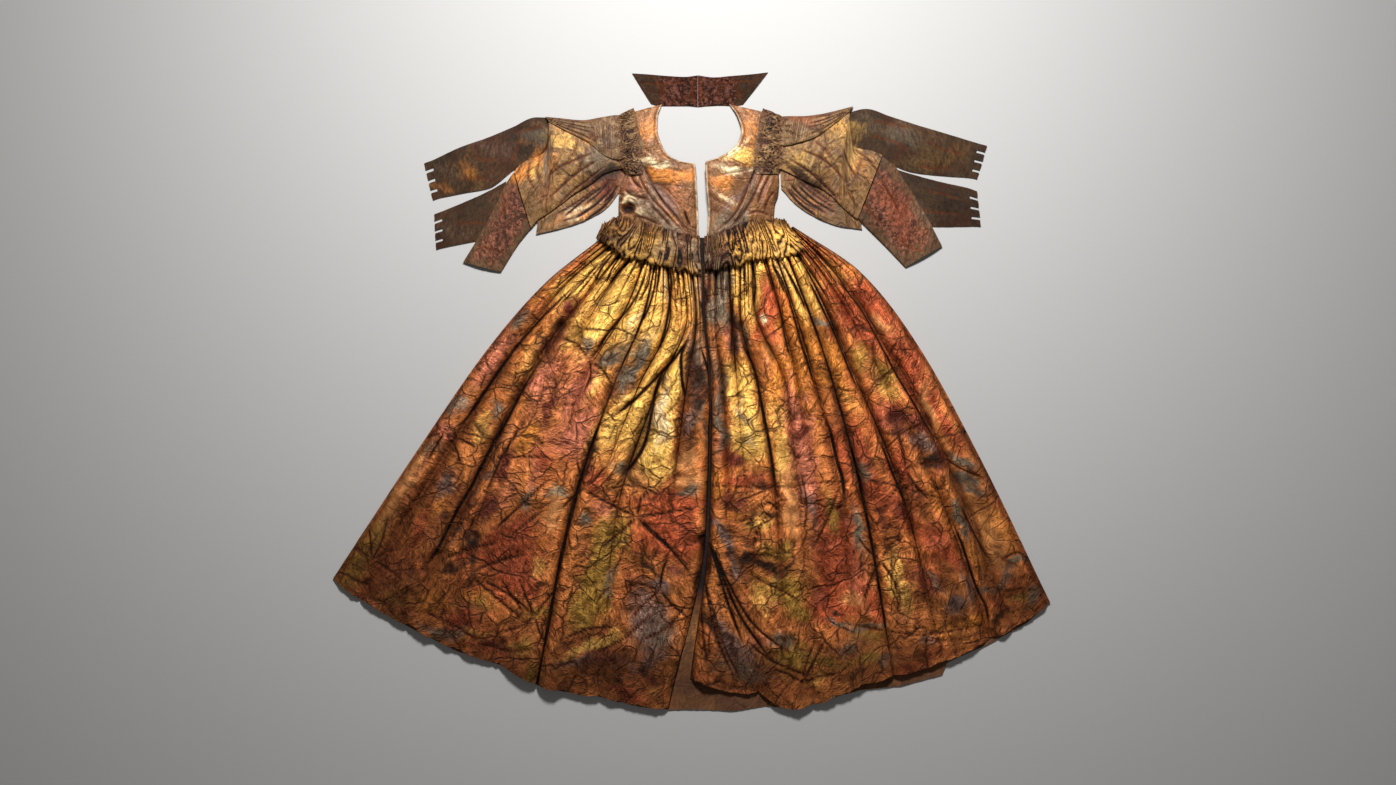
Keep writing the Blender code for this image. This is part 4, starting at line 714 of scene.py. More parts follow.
def makeSilk(name, light, deep, roughness, stainAndShadeStrength, crinkle, crinkleSize=1.0, sharpness=0.5, sheen=0.0,
             gloss=0.3, contrast=0.45, metallic=0.0, gloomy=0.5, nap=0.0, napColour=None, bound=None,
             edging=None):
    material = bpy.data.materials.new(name)
    material.use_nodes = True
    tree = material.node_tree
    shader = tree.nodes["Principled BSDF"].inputs
    place = addNode(tree, "TexCoord").outputs["Object"]
    cloud = noiseAt(tree, place, 9, 6, 0.5, 0.58)
    own = mixColours(tree, remap(tree, cloud, 0.28, 0.64), deep, light)
    elsewhere = vectors(tree, "ADD", place, (3.1, 1.7, 0))
    gloom = remap(tree, noiseAt(tree, elsewhere, 6, 3, 0.5, 0.5), 0.50, 0.74, 0.0, gloomy)
    own = mixColours(tree, gloom, own, colours["gloom"])
    if nap:  # worn nap, which ends before a plain border
        napWearAndRidgeShade = remap(tree, noiseAt(tree, place, 120, 6, 0.5, 0.75), 0.46, 0.56, shape="SMOOTHSTEP")
        own = mixColours(tree, times(tree, napWearAndRidgeShade, nap), own, napColour)
        own = mixColours(tree, readAttribute(tree, "clothLie", "Alpha"), own, bound)
    stained = useGroup(tree, "stains", Strength=stainAndShadeStrength)
    tree.links.new(own, stained.inputs["Cloth"])
    stained = stained.outputs
    crinkled = useGroup(tree, "crinkle", Size=crinkleSize, Sharpness=sharpness).outputs
    colour = stained["Colour"]
    if edging:  # a narrow band along the edge
        colour = mixColours(tree, readAttribute(tree, "clothLie", "Alpha"), colour, edging)
    calm = mixValues(tree, stained["Smooth"], 1.0, 0.25)
    raised = mixValues(tree, times(tree, stained["Smooth"], 0.7), crinkled["Raised"], 0.5)
    # Painted highlight and shade: raised streaks lighter, dells darker, as much as contrast asks.
    napWearAndRidgeShade = remap(tree, raised, 0.05, 0.64, 1 - 1.2 * contrast, 1 + 0.9 * contrast)
    colour = multiplied(tree, multiplied(tree, colour, napWearAndRidgeShade), crinkled["Tone"])
    # Painted shade in the small creases.
    creaseShading = times(tree, times(tree, crinkled["Creases"], calm), 1.5 * contrast, True)
    colour = mixColours(tree, creaseShading, colour, mixColours(tree, 0.85, colour, colours["creaseShade"]))
    tree.links.new(colour, shader["Base Color"])

    bump = None
    for strength, distance, height in ((calm, bumps["crinkle"] * crinkle, crinkled["Height"]),
                                       (0.6, bumps["grain"], noiseAt(tree, place, 320, 4, 0.5, 0.6)),
                                       (0.15, bumps["weave"], useGroup(tree, "weave").outputs["Height"])):
        links = {"Strength": strength, "Distance": distance, "Height": height}
        if bump is not None:
            links["Normal"] = bump
        bump = addNode(tree, "Bump", links).outputs[0]
    tree.links.new(bump, shader["Normal"])
    rough = remap(tree, cloud, 0.3, 0.7, roughness - 0.07, roughness + 0.10)
    rough = reckon(tree, "ADD", rough, times(tree, stained["Darkness"], 0.3), True)
    tree.links.new(rough, shader["Roughness"])
    shader["Specular IOR Level"].default_value = gloss
    shader["Metallic"].default_value = metallic
    shader["Sheen Weight"].default_value = sheen
    shader["Sheen Roughness"].default_value = 0.4
    return material


silks = {  # name, light and deep colour, roughness, strength of stains and of crinkles
    "skirt": makeSilk("skirtSatin", (0.48, 0.160, 0.040), (0.30, 0.074, 0.022), 0.42, 1.0, 1.3,
                      gloss=0.16, contrast=0.74, metallic=0.35, gloomy=0.38),
    "heading": makeSilk("gatheredSilk", (0.235, 0.114, 0.029), (0.080, 0.037, 0.012), 0.45, 0.75, 0.45,
                        contrast=0.5, metallic=0.2),
    "bodice": makeSilk("bodiceSatin", (0.21, 0.092, 0.032), (0.115, 0.048, 0.020), 0.40, 0.95, 0.5,
                       gloss=0.28, contrast=0.4, metallic=0.2, gloomy=0.45, edging=(0.40, 0.29, 0.18)),
    "sleeve": makeSilk("sleeveSilk", (0.23, 0.116, 0.039), (0.10, 0.052, 0.020), 0.5, 0.85, 0.85,
                       crinkleSize=0.8, sheen=0.05, contrast=0.6, gloomy=0.45),
    "pane": makeSilk("paneSilk", (0.054, 0.028, 0.013), (0.016, 0.009, 0.005), 0.60, 0.45, 0.25,
                     crinkleSize=0.6, gloss=0.10),
    "band": makeSilk("armholeSilk", (0.23, 0.140, 0.056), (0.085, 0.052, 0.024), 0.5, 0.5, 0.5),
    "damask": makeSilk("wornDamask", (0.060, 0.024, 0.013), (0.024, 0.011, 0.007), 0.62, 0.75, 0.3,
                       crinkleSize=1.6, sharpness=0.3, gloss=0.12, contrast=0.5, nap=0.8,
                       napColour=(0.21, 0.075, 0.041), bound=(0.085, 0.045, 0.022)),
    "collar": makeSilk("collarDamask", (0.016, 0.006, 0.004), (0.006, 0.003, 0.002), 0.62, 0.12, 0.3,
                       crinkleSize=1.6, sharpness=0.3, gloss=0.03, contrast=0.7, nap=0.9,
                       napColour=(0.095, 0.034, 0.024), bound=(0.030, 0.016, 0.009)),
    "back": makeSilk("plainBack", (0.24, 0.10, 0.030), (0.13, 0.052, 0.020), 0.5, 0.5, 0.35, contrast=0.35),
}
print("materials made:", len(silks))

# Pieces. A rung is x and y of its two ends, their two heights, and the rise between them.

# Collar
collar = {
    "Left": """
    -13.98 74.85 -9.52 67.68 .2 .2 .15, -10.22 74.61 -7.17 67.21 .2 .2 .2,
    -5.99 74.26 -4.35 67.21 .2 .2 .2, -1.76 74.02 -1.06 67.21 .2 .2 .15, 1.43 74.38 1.43 66.97 .2 .2 .1""",
    "Right": """
    1.48 74.38 1.48 66.97 .2 .2 .1, 5.29 73.91 4.11 67.21 .2 .2 .15, 9.52 74.26 6.93 67.33 .2 .2 .2,
    13.75 74.61 9.75 67.21 .2 .2 .2, 17.98 75.08 12.1 67.56 .2 .2 .15""",
    "creases": readCreases("""
    .25 .1 .4 74.1 .1 70.9 .6 67.3, .25 .1 2 74.1 2.2 70.9 1.8 67.3, .2 -.08 1.3 74.1 1.3 70.9 1.3 67.3,
    .3 .1 -8.6 74.1 -7.4 70.9 -6.9 67.3, .3 .08 10.2 74.1 10.9 70.9 11.6 68,
    .25 .06 -12.1 72.7 -8.6 72.3 -.4 72.7, .25 .06 3.2 72.3 9 72.7 14.9 73.2"""),
    "crumple": 0.05, "columns": 64, "rows": 34, "flat": (0.165, 0.085), "area": 0.0095,
}


def makeCollar(side):
    x, y, z = ladder(readTable(collar[side], 7), collar["columns"], collar["rows"])
    sunk, inside = pressCreases(x, y, collar["creases"])
    z = z + crumples(x, y, 1.6, collar["crumple"], 3) - sunk
    border = np.clip((np.abs(x - 1.5) - 8.2 + 1.2 * waves(x, y, 1.5, 4)) * 0.9, 0, 1)
    # Painted shade in the creases.
    piece = makeCloth("collar" + side, (x, y, z), "collar", paintedShade=inside, border=border)
    declare(piece, collar["flat"])


# Bodice: a back, a side and a front on each side of the lacing slit
bodice = {
    "Left": {
        "back": """
    -14.92 64.98 -8.34 66.62 .2 .2 0, -15.86 60.98 -9.28 61.45 .2 .2 0, -16.1 57.22 -8.34 56.75 .2 .2 0,
    -16.57 53.93 -4.58 53.23 .2 .2 0, -16.8 51.11 .78 51.58 .2 .2 0, -17.04 46.18 1.36 46.18 .2 .2 0,
    -16.8 41.24 1.55 41.24 .2 .2 0, -16.57 36.31 1.69 36.31 .2 .2 0""",
        "side": """
    -14.92 52.52 -10.93 52.76 .5 1.5 .3, -16.33 49.47 -8.34 48.76 .6 1.7 .9,
    -17.04 46.18 -5.52 45 .6 1.9 1.1, -17.15 42.89 -2.47 41.24 .6 2 1, -16.8 38.89 .12 36.54 .5 2 .7""",
        "front": """
    -14.69 65.45 -6.93 67.56 .6 .3 .3, -14.22 63.1 -7.87 64.74 1 1 .5,
    -13.75 60.04 -7.99 61.45 1.4 1.5 .6, -13.04 56.99 -7.17 58.4 1.6 1.9 .7,
    -12.57 54.64 -5.52 55.58 1.7 2.2 .8, -11.63 52.29 -2.47 53.93 1.7 2.4 .9,
    -10.46 50.17 .82 53.23 1.8 2.5 1, -8.11 46.65 1.29 47.82 1.9 2.6 .8, -4.58 41.71 1.53 42.18 2 2.5 .4,
    -.82 37.01 1.65 36.07 2 2.3 .2""",
        "sideArea": 0.018,
    },
    "Right": {
        "back": """
    17.27 65.21 10.93 66.15 .2 .2 0, 18.68 60.98 12.81 61.45 .2 .2 0, 19.39 57.22 12.1 56.75 .2 .2 0,
    20.09 53.93 8.11 53.23 .2 .2 0, 20.33 51.11 3.08 51.58 .2 .2 0, 19.86 46.18 3.6 46.18 .2 .2 0,
    19.39 41.24 4.09 41.24 .2 .2 0, 18.92 36.31 3.55 36.31 .2 .2 0""",
        "side": """
    20.09 52.99 13.75 53.7 .5 1.5 .4, 20.56 49.7 12.57 49.47 .6 1.7 .9,
    20.33 46.41 11.63 45.47 .6 1.9 1.1, 19.39 43.36 9.75 42.18 .6 2 1, 19.15 39.6 6.93 37.72 .5 2 .7""",
        "front": """
    17.04 65.68 8.81 67.56 .6 .3 .3, 17.04 63.1 10.69 64.74 1 1 .5, 16.57 60.04 11.63 61.45 1.4 1.5 .6,
    16.1 56.99 10.93 58.63 1.6 1.9 .7, 15.39 54.4 9.05 56.52 1.7 2.2 .8,
    14.69 52.29 6.23 54.87 1.7 2.4 .9, 13.98 49.94 3.17 53.46 1.8 2.5 1,
    13.28 46.88 3.41 47.82 1.9 2.6 .8, 11.63 42.42 3.88 42.18 2 2.5 .5, 8.58 37.72 3.52 36.07 2 2.3 .3""",
        "sideArea": 0.015,
    },
    "creases": readCreases("""
    .35 .35 -12.1 54.4 -10.7 51.6 -9.3 48.8 -6.9 45 -3.6 41 -.8 37.2,
    .3 .25 -13 53 -11.9 49.7 -9.8 45.9 -6.5 42.2 -2.2 37.7,
    .3 -.2 -11.6 52.1 -9.8 47.8 -6.9 43.6 -2.7 38.9,
    .35 .35 16.1 54.4 14.7 51.6 13.3 48.3 11.6 44.3 9.5 40.8 5.8 37.5,
    .3 .25 18 53.9 16.6 50.6 15.2 47.4 13.3 43.6 10.9 40.3 8.1 37.7,
    .3 -.2 16.1 52.1 14.5 48.3 12.3 44.1 10 40.3, .3 .12 -12.1 53.7 -8.6 53 -3.9 53.7,
    .3 -.1 -11.4 54.6 -7.4 54.2 -4.6 54.4, .3 .12 -12.1 49.2 -7.4 48.3 -.4 50.2,
    .3 -.12 7.9 51.6 10.9 52.3 14.2 53, .3 .15 5.8 50.6 10.2 51.3 14.2 52.1,
    .3 -.12 4.8 46.6 7.2 45.5 10 43.8, .3 .15 4.3 45.7 6.7 44.3 9.5 42.9,
    .25 .12 10.2 57.2 12.6 57.7 15.4 57.9, .35 .5 -1.8 42.4 -1.1 40.5 -.4 38.9,
    .3 -.15 -5.5 47.4 -3.6 45 -2.7 41.7, .3 .15 -7.4 48.5 -4.6 46.2 -2.2 42.7,
    .3 .12 4.8 42.7 7.2 41.7 10 41.2, .4 .3 -15.9 47.4 -13.5 45.9 -10.2 45,
    .35 -.3 -16.3 45.2 -14.5 45.7 -12.6 44.5 -12.1 42.2, .5 .3 -9.8 43.8 -7.4 41.5 -4.6 38.4,
    .35 .3 -13.5 41.2 -10.7 40.5 -7.4 38.9, .4 .3 18.4 50.6 16.6 47.4 15.6 44.1,
    .35 .25 19.9 47.4 18 45 17 41.7, .3 -.25 19.2 49.7 17.5 46.4 16.6 43.1,
    .3 .25 13.3 41.7 15.6 42.2 18.9 41.2, .3 .3 -14.5 51.6 -13.5 49.2 -11.6 47.4"""),
    "grids": {"back": (60, 40), "side": (72, 66), "front": (130, 60)},
    "hollow": (-14.9, 42.9), "rimHeight": 0.10, "seamDepth": 0.08,
}


def makeBodice(side):
    places = {part: ladder(readTable(bodice[side][part], 7), *grid) for part, grid in bodice["grids"].items()}
    back, flank = "bodiceBack" + side, "bodiceSide" + side
    x, y, z = places["back"]
    piece = makeCloth(back, (x, y, z + 0 * x), "back")
    declare(piece, (0.20, 0.30))

    x, y, z = places["side"]
    sunk, inside = pressCreases(x, y, bodice["creases"])
    z = z + crumples(x, y, 2.6, 0.16, 8) - sunk
    if side == "Left":  # a round hollow with a crumpled rim, with painted shade inside
        hollowX, hollowY = bodice["hollow"]
        away = np.hypot(x - hollowX, y - hollowY) + 0.25 * waves(x, y, 1.2, 4)
        z = z - 1.2 * np.exp(-(away / 1.1) ** 2) + 0.35 * np.exp(-((away - 1.9) / 0.5) ** 2)
        inside = np.maximum(inside, np.exp(-(away / 1.2) ** 4))
    # Painted shade in the creases and in the hollow.
    piece = makeCloth(flank, (x, y, z), "bodice", [back], 0.8 * inside)
    declare(piece, (0.15, 0.17))

    x, y, z = places["front"]
    sunk, inside = pressCreases(x, y, bodice["creases"])
    across = np.linspace(0, 1, x.shape[0])[:, None]
    width = np.hypot(x[-1] - x[0], y[-1] - y[0])[None, :]
    fromEdge = (1 - across) * width  # a stitched and rolled edge along the neck and the slit
    rolled = bodice["rimHeight"] * np.exp(-((fromEdge - 0.2) / 0.2) ** 2)
    rolled = rolled - bodice["seamDepth"] * np.exp(-((fromEdge - 0.75) / 0.14) ** 2)
    z = z + crumples(x, y, 2.2, 0.10, 12, 0.7) - sunk + rolled
    # Painted shade in the creases and in the seam beside the rolled edge.
    inside = np.maximum(0.8 * inside, 0.35 * np.exp(-((fromEdge - 0.75) / 0.16) ** 2))
    edge = np.exp(-((fromEdge - 0.15) / 0.25) ** 4) * np.clip(0.8 + 0.9 * waves(x, y, 1.5, 14), 0.3, 1)
    piece = makeCloth("bodiceFront" + side, (x, y, z), "bodice", [back, flank], inside, edge)
    declare(piece, (0.15, 0.32))


# Sleeves. A rung here is x and y of its two ends, and heights has their two heights and the rise.
sleeves = {
    "Left": {
        "back": """
    -15.86 64.27 -17.04 46.88, -21.03 63.57 -20.09 43.12, -26.2 63.33 -25.5 40.07,
    -30.9 63.33 -31.37 38.19, -34.19 54.4 -36.54 37.01""",
        "paneUpper": """
    -30.43 64.27 -30.43 57.22, -36.54 64.51 -35.6 55.58, -42.18 62.16 -41.48 52.29,
    -48.06 59.69 -47.59 47.82, -54.17 57.57 -53.7 46.65, -60.98 54.4 -59.34 45.47, -62.86 53.7 -60.75 45""",
        "paneLower": """
    -43.59 49.47 -45 36.54, -47.82 47.12 -49.7 35.6, -53.23 44.65 -54.4 34.66, -58.63 42.42 -58.4 33.84,
    -60.51 41.71 -60.04 33.37""",
        "cuffBack": """
    -40.07 52.99 -36.31 40.54, -43.12 49.23 -38.66 37.72, -46.18 43.12 -40.54 35.13,
    -49.94 36.31 -42.65 31.84, -53.58 30.67 -44.88 28.32""",
        "cuffFront": """
    -40.07 53.46 -36.07 40.3, -43.12 49.7 -38.66 37.25, -46.18 43.36 -40.54 34.9,
    -49.94 36.54 -42.65 31.61, -53.7 30.43 -44.77 28.08""",
        "front": """
    -15.16 56.75 -15.86 52.52, -18.92 56.75 -20.09 51.35, -22.21 58.4 -23.62 48.76,
    -27.85 60.98 -27.14 46.65, -33.49 63.57 -30.9 43.83, -33.96 56.99 -33.49 41.95,
    -39.36 53.93 -36.31 40.07, -41.71 51.82 -37.72 38.42""",
        "wing": """
    -34.43 64.62 -33.49 63.33, -30.9 64.27 -29.26 60.98, -25.73 63.8 -24.32 58.4,
    -21.03 64.51 -20.33 55.34, -17.74 64.98 -17.51 54.4, -15.39 64.98 -15.39 55.11""",
        "armhole": """
    -17.04 64.98 -13.51 66.62, -17.74 62.39 -12.57 63.57, -17.98 59.1 -11.87 59.57,
    -17.74 56.05 -11.16 55.81, -16.8 53.23 -10.93 52.76, -15.16 50.64 -11.87 50.88""",
        "creases": readCreases("""
    .3 .35 -21.5 54.4 -26.2 51.6 -29.7 48.8 -33.7 45, .3 .3 -20.1 53 -24.3 49.7 -28.6 46.4 -31.8 43.1,
    .35 .3 -22.4 56.3 -26.7 54.4 -30.9 52.5 -34.4 49.7, .25 .2 -24.3 57.9 -25.3 54.4 -27.1 50.6,
    .25 .2 -26.7 59.6 -27.6 56.3 -29.5 53, .3 .25 -32.8 61.5 -34.4 57.2 -36.8 54.4,
    .3 .25 -38 54.4 -38.4 50.6 -36.8 47.4, .3 .25 -35.6 55.6 -36.1 51.6 -35.1 48.3,
    .25 .18 -41 59.6 -41.2 56.8 -42.2 53.7, .2 .15 -34.7 62.4 -38 61.7 -41.9 60.7,
    .3 .3 -21.5 48.5 -25 45.9 -28.6 43.6 -32.8 41.2, .3 -.3 -20.6 47.4 -23.9 44.5 -28.1 42.2,
    .35 .35 -18.7 50.6 -21.5 46.9 -25.3 43.8, .3 .25 -23.9 42.7 -27.4 41.2 -30.9 39.8,
    .25 .15 -52.1 55.6 -48.5 54.4 -45 54.9, .25 .12 -55.6 49.7 -50.9 50.2 -46.2 49.2,
    .25 .12 -56.8 39.1 -52.1 39.8 -47.4 39.4, .25 .15 -45 47.4 -43.8 43.8 -45.5 40.3,
    .2 .12 -50.2 34.4 -46.9 33.3 -43.8 32.3, .3 .2 -30.9 54.4 -32.8 51.6 -34.7 47.4,
    .4 .6 -18.2 48.3 -22.4 44.1 -28.1 40.3, .35 .5 -17.7 46.9 -21 43.1 -25.3 40.1,
    .35 -.5 -18.7 47.4 -22.9 43.1 -29 39.1, .3 .4 -20.1 48.8 -25.3 45 -30.4 40.8,
    .3 .4 -17.3 48.8 -18.7 46.4 -21 44.1, .3 -.4 -19.6 45 -22.4 42.7 -26.2 39.4"""),
        "cuffArea": 0.022,
    },
    "Right": {
        "back": """
    20.33 64.27 21.03 47.82, 25.03 63.57 24.79 43.83, 30.2 64.27 29.73 40.77, 35.13 65.21 34.9 38.89,
    37.25 53.23 40.07 38.19""",
        "paneUpper": """
    34.43 64.74 34.9 57.22, 41.01 66.5 41.48 56.28, 46.65 64.74 46.41 53.7, 52.52 62.86 51.82 51.58,
    59.57 60.75 58.63 50.76, 67.33 58.4 65.45 50.29, 69.44 57.81 67.09 49.94""",
        "paneLower": """
    47.35 52.52 50.41 39.6, 52.29 50.99 54.87 38.89, 58.4 49.35 59.57 38.77, 65.21 47.82 65.92 38.89,
    67.09 47.12 68.03 38.77""",
        "cuffBack": """
    42.89 55.81 37.25 42.65, 47.12 52.99 40.3 39.83, 50.41 48.53 42.65 37.48, 53.93 42.89 45.71 34.43,
    58.75 34.43 50.29 29.49""",
        "cuffFront": """
    42.89 56.28 37.01 42.42, 47.35 53.46 40.07 39.6, 50.64 48.76 42.42 37.25, 54.17 43.12 45.47 34.19,
    58.87 34.19 50.17 29.26""",
        "front": """
    19.62 58.63 20.33 52.52, 23.15 59.1 23.85 50.88, 27.38 59.57 27.38 49, 32.08 62.39 30.9 47.35,
    37.01 65.92 33.49 45.24, 37.95 57.69 35.6 43.12, 42.42 56.52 37.48 41.48, 44.77 55.58 38.89 40.3""",
        "wing": """
    37.95 67.09 37.01 65.68, 34.43 66.15 33.02 62.39, 30.2 65.21 29.02 59.57, 25.97 64.74 24.79 58.16,
    22.68 64.74 22.21 57.69, 20.09 64.51 20.09 57.93""",
        "armhole": """
    21.5 64.51 16.57 66.62, 21.97 62.16 15.86 63.57, 22.21 59.1 15.16 59.57, 21.97 56.05 14.45 56.05,
    21.27 53.46 14.22 53.23, 20.56 51.11 15.16 50.88""",
        "creases": readCreases("""
    .35 .4 23.1 54.4 27.4 51.6 31.1 48.3 34.9 45, .3 .3 22.2 53 26 49.7 29.7 46.9 33 44.5,
    .3 .3 25.5 56.8 29.7 54.9 33.5 52.1 36.3 48.8, .3 .25 28.3 59.1 31.1 56.8 33.5 53.9,
    .3 -.25 30.2 56.8 32.5 53.2 34.4 49.7, .35 .3 35.4 56.8 36.8 53.2 39.1 49.7,
    .3 .25 38.4 56.8 41.5 54.4 44.3 50.9, .3 .25 36.3 47.4 37.7 45 39.1 42.7,
    .25 .15 41.9 63.8 46.6 62.9 52.5 61.9, .25 .15 41.5 60.3 46.6 59.1 51.3 56.8,
    .25 .12 54.9 59.1 59.6 56.8 64.3 55.6, .25 .12 52.5 53.2 57.2 52.5 61.9 52.5,
    .25 .12 54.9 47.4 59.6 46.2 63.6 45, .25 .12 52.5 43.1 57.2 42.2 63.1 41.7,
    .3 .3 24.6 50.2 27.4 47.4 30.7 45 34 43.1, .3 -.3 25.5 48.3 28.8 45.5 32.5 43.1,
    .3 .3 23.1 47.4 26.4 44.5 30.2 42.2, .3 .2 44.3 49.7 46.6 46.2 49 41.5,
    .25 .15 40.1 45 42.4 41.7 45.2 38.9, .25 .15 48.5 35.6 51.8 33.7 55.1 32.8,
    .4 .6 22.7 49.2 26.9 45 32.1 41.7, .35 .5 22.2 47.8 25.5 44.1 29.7 41,
    .35 -.5 23.1 48.3 27.4 44.1 33 40.3, .3 .4 24.6 48.8 28.8 45 34.4 41.7,
    .3 -.4 24.1 45.9 27.4 43.1 31.6 40.1"""),
        "cuffArea": 0.030,
    },
    "heights": {
        "back": ".2 .2 .1, .2 .2 .15, .2 .2 .15, .2 .2 .15, .2 .2 .1",
        "paneUpper": ".2 .2 .1, .2 .2 .15, .2 .2 .15, .2 .2 .15, .2 .2 .15, .2 .2 .1, .2 .2 .1",
        "paneLower": ".2 .2 .1, .2 .2 .15, .2 .2 .15, .2 .2 .1, .2 .2 .1",
        "cuffBack": ".2 .2 0, .2 .2 0, .2 .2 0, .2 .2 0, .2 .2 0",
        "cuffFront": ".6 .6 .2, .55 .55 .7, .55 .5 .8, .5 .4 .7, .4 .4 .5",
        "front": ".9 .9 .4, 1.2 1.1 .8, 1.2 1 1.7, 1 1 2.1, .8 .9 1.9, .9 .9 1.4, .95 .9 1.1, .95 .9 .8",
        "wing": ".6 1.2 .1, .6 1.6 .5, .6 2 .9, .6 2.2 1, .6 2 .6, .6 1.6 .3",
        "armhole": ".6 .8 .9, .8 1 1.4, .8 1.2 1.5, .8 1.4 1.4, .7 1.5 1.1, .6 1.5 .7",
    },
    "grids": {"back": (70, 60), "cuffBack": (50, 26), "cuffFront": (92, 52), "front": (120, 72),
              "wing": (150, 30), "armhole": (150, 36)},
    "tabSteps": (0.0, 0.19, 0.27, 0.46, 0.54, 0.73, 0.81, 1.0), "tabGrid": (5, 2, 5, 2, 5, 2, 5),
    "paneColumns": 66,
    "panes": {"paneUpper": ((0.115, 0.36), 0.033), "paneLower": ((0.13, 0.20), 0.018)},
    "order": ("sleeveBack", "sleevePaneUpper", "sleevePaneLower", "cuffBack", "cuffFront", "collar",
              "bodiceBack", "bodiceSide", "bodiceFront", "sleeveFront", "sleeveWing", "armhole"),
}


def beneath(part, side):  # what a part of a sleeve may lie on, from the lowest piece upwards
    order = sleeves["order"]
    return [piece + side for piece in order[:order.index(part)]]


def sleeveRungs(side, part):
    return np.hstack([readTable(sleeves[side][part], 4), readTable(sleeves["heights"][part], 3)])


def sleeveLadder(side, part):
    return ladder(sleeveRungs(side, part), *sleeves["grids"][part])


def fadeOut(count, start):  # 1 in the middle of a panel, less towards its long edges
    return np.sin(np.pi * np.linspace(start, 1 - start, count))[:, None] ** 0.5


def tabGrid(rungs):  # a hanging pane: its last stretch is four square tabs
    steps, counts = sleeves["tabSteps"], sleeves["tabGrid"]
    across = np.concatenate([np.linspace(steps[k], steps[k + 1], n + 1)[:-1]
                             for k, n in enumerate(counts)] + [[1.0]])[:, None]
    isGap = np.concatenate([np.full(n, k % 2 == 1) for k, n in enumerate(counts)])
    last = len(rungs) - 1
    before = np.linspace(0, last - 1, sleeves["paneColumns"])[:-1]
    at = np.concatenate([before, np.linspace(last - 1, last, 5)])
    x, y, z, _, rise = betweenRungs(rungs, at, across)
    cut = isGap[:, None] & (at[:-1] >= last - 1 - 1e-6)[None, :]
    return x, y, z + rise * np.sin(np.pi * across) + 0 * x, cut


def makeSleeve(side):
    # Each sleeve piece gets painted shade in its creases.
    x, y, z = sleeveLadder(side, "back")
    sunk, inside = pressCreases(x, y, sleeves[side]["creases"])
    ripples = crumples(x, y, 2.4, 0.10, 31) * np.clip(y.max() - y, 0, 1)
    z = z + 0.25 + ripples - 0.6 * sunk
    back, onBodice = "sleeveBack" + side, ["bodiceBack" + side]
    piece = makeCloth(back, (x, y, z), "sleeve", onBodice, inside)
    declare(piece, (0.22, 0.24))

    for part, (flat, area) in sleeves["panes"].items():
        x, y, z, cut = tabGrid(sleeveRungs(side, part))
        sunk, inside = pressCreases(x, y, sleeves[side]["creases"])
        x = x + 0.08 * waves(x, y, 1.1, 41)
        z = z + crumples(x, y, 3.0, 0.06, 42) - 0.5 * sunk
        name = "sleeve" + part[0].upper() + part[1:] + side
        piece = makeCloth(name, (x, y, z), "pane", [back], inside, cutAway=cut)
        declare(piece, flat)

    x, y, z = sleeveLadder(side, "cuffBack")
    piece = makeCloth("cuffBack" + side, (x, y, z), "sleeve", beneath("cuffBack", side))
    declare(piece, (0.14, 0.26))

    x, y, z = sleeveLadder(side, "cuffFront")
    sunk, inside = pressCreases(x, y, sleeves[side]["creases"])
    across = np.linspace(0, 1, x.shape[0])[:, None]
    along = np.linspace(0, 1, x.shape[1])[None, :]
    inward = np.minimum(np.minimum(across, 1 - across) / 0.13, np.minimum((1 - along) / 0.07, along / 0.10))
    inward = inward + 0.9 * waves(x, y, 1.6, 52) + 0.5 * waves(x, y, 0.6, 53)
    border = np.clip(1.6 - inward, 0, 1)  # the nap ends unevenly before the plain border
    z = z + crumples(x, y, 1.4, 0.06, 51) - sunk - 0.05 * np.exp(-((inward - 1) / 0.15) ** 2)
    piece = makeCloth("cuffFront" + side, (x, y, z), "damask", beneath("cuffFront", side), inside, border)
    declare(piece, (0.14, 0.26))

    x, y, z = sleeveLadder(side, "front")
    sunk, inside = pressCreases(x, y, sleeves[side]["creases"])
    z = z + crumples(x, y, 1.9, 0.18, 61) - sunk
    piece = makeCloth("sleeveFront" + side, (x, y, z), "sleeve", beneath("sleeveFront", side), 0.7 * inside)
    declare(piece, (0.22, 0.24))


def makeWing(side):  # the gathers at the shoulder
    x, y, z = sleeveLadder(side, "wing")
    gather, groove = ribs(x, 5, 0.34, 71, 0.5, lengthwise=True)
    patch, seams = ribs(x, 34, 0.12, 75, 0.2)  # a finely ribbed patch near the armhole
    here = np.exp(-(((np.linspace(0, 1, x.shape[1]) - 0.62) / 0.16) ** 4))[None, :] + 0 * x
    fade = fadeOut(x.shape[0], 0.04)
    z = z + fade * (gather * (1 - here) + patch * here) + crumples(x, y, 1.6, 0.12, 72)
    groove = groove * (1 - here) + 0.7 * seams * here
    strands = np.maximum(tangle(x, y, 0.8, 77), -0.6)
    knotted = np.clip(0.5 + 3 * waves(x, y, 3.0, 78), 0, 1)
    z = z + 0.25 * fade * knotted * strands
    groove = np.maximum(groove, knotted * np.clip(0.85 - 1.3 * strands, 0, 0.9))
    name = "sleeveWing" + side
    # The grooves of the gathers and between the knotted strands get painted shade.
    piece = makeCloth(name, (x, y, z), "band", beneath("sleeveWing", side), 0.8 * groove * fade)
    declare(piece, (0.20, 0.10))


def makeArmhole(side):  # a band of tangled gathers
    x, y, z = sleeveLadder(side, "armhole")
    strands = tangle(x, y, 0.85, 81)
    gather, groove = 0.40 * np.maximum(strands, -0.6), np.clip(1.05 - 1.4 * strands, 0, 1)
    fade = fadeOut(x.shape[0], 0.06)
    x = x + 0.25 * waves(x, y, 1.0, 82)
    z = z + gather * fade + crumples(x, y, 1.0, 0.14, 83)
    # The gaps between the strands get painted shade.
    piece = makeCloth("armhole" + side, (x, y, z), "band", beneath("armhole", side), 0.9 * groove * fade)
    declare(piece, (0.16, 0.12))


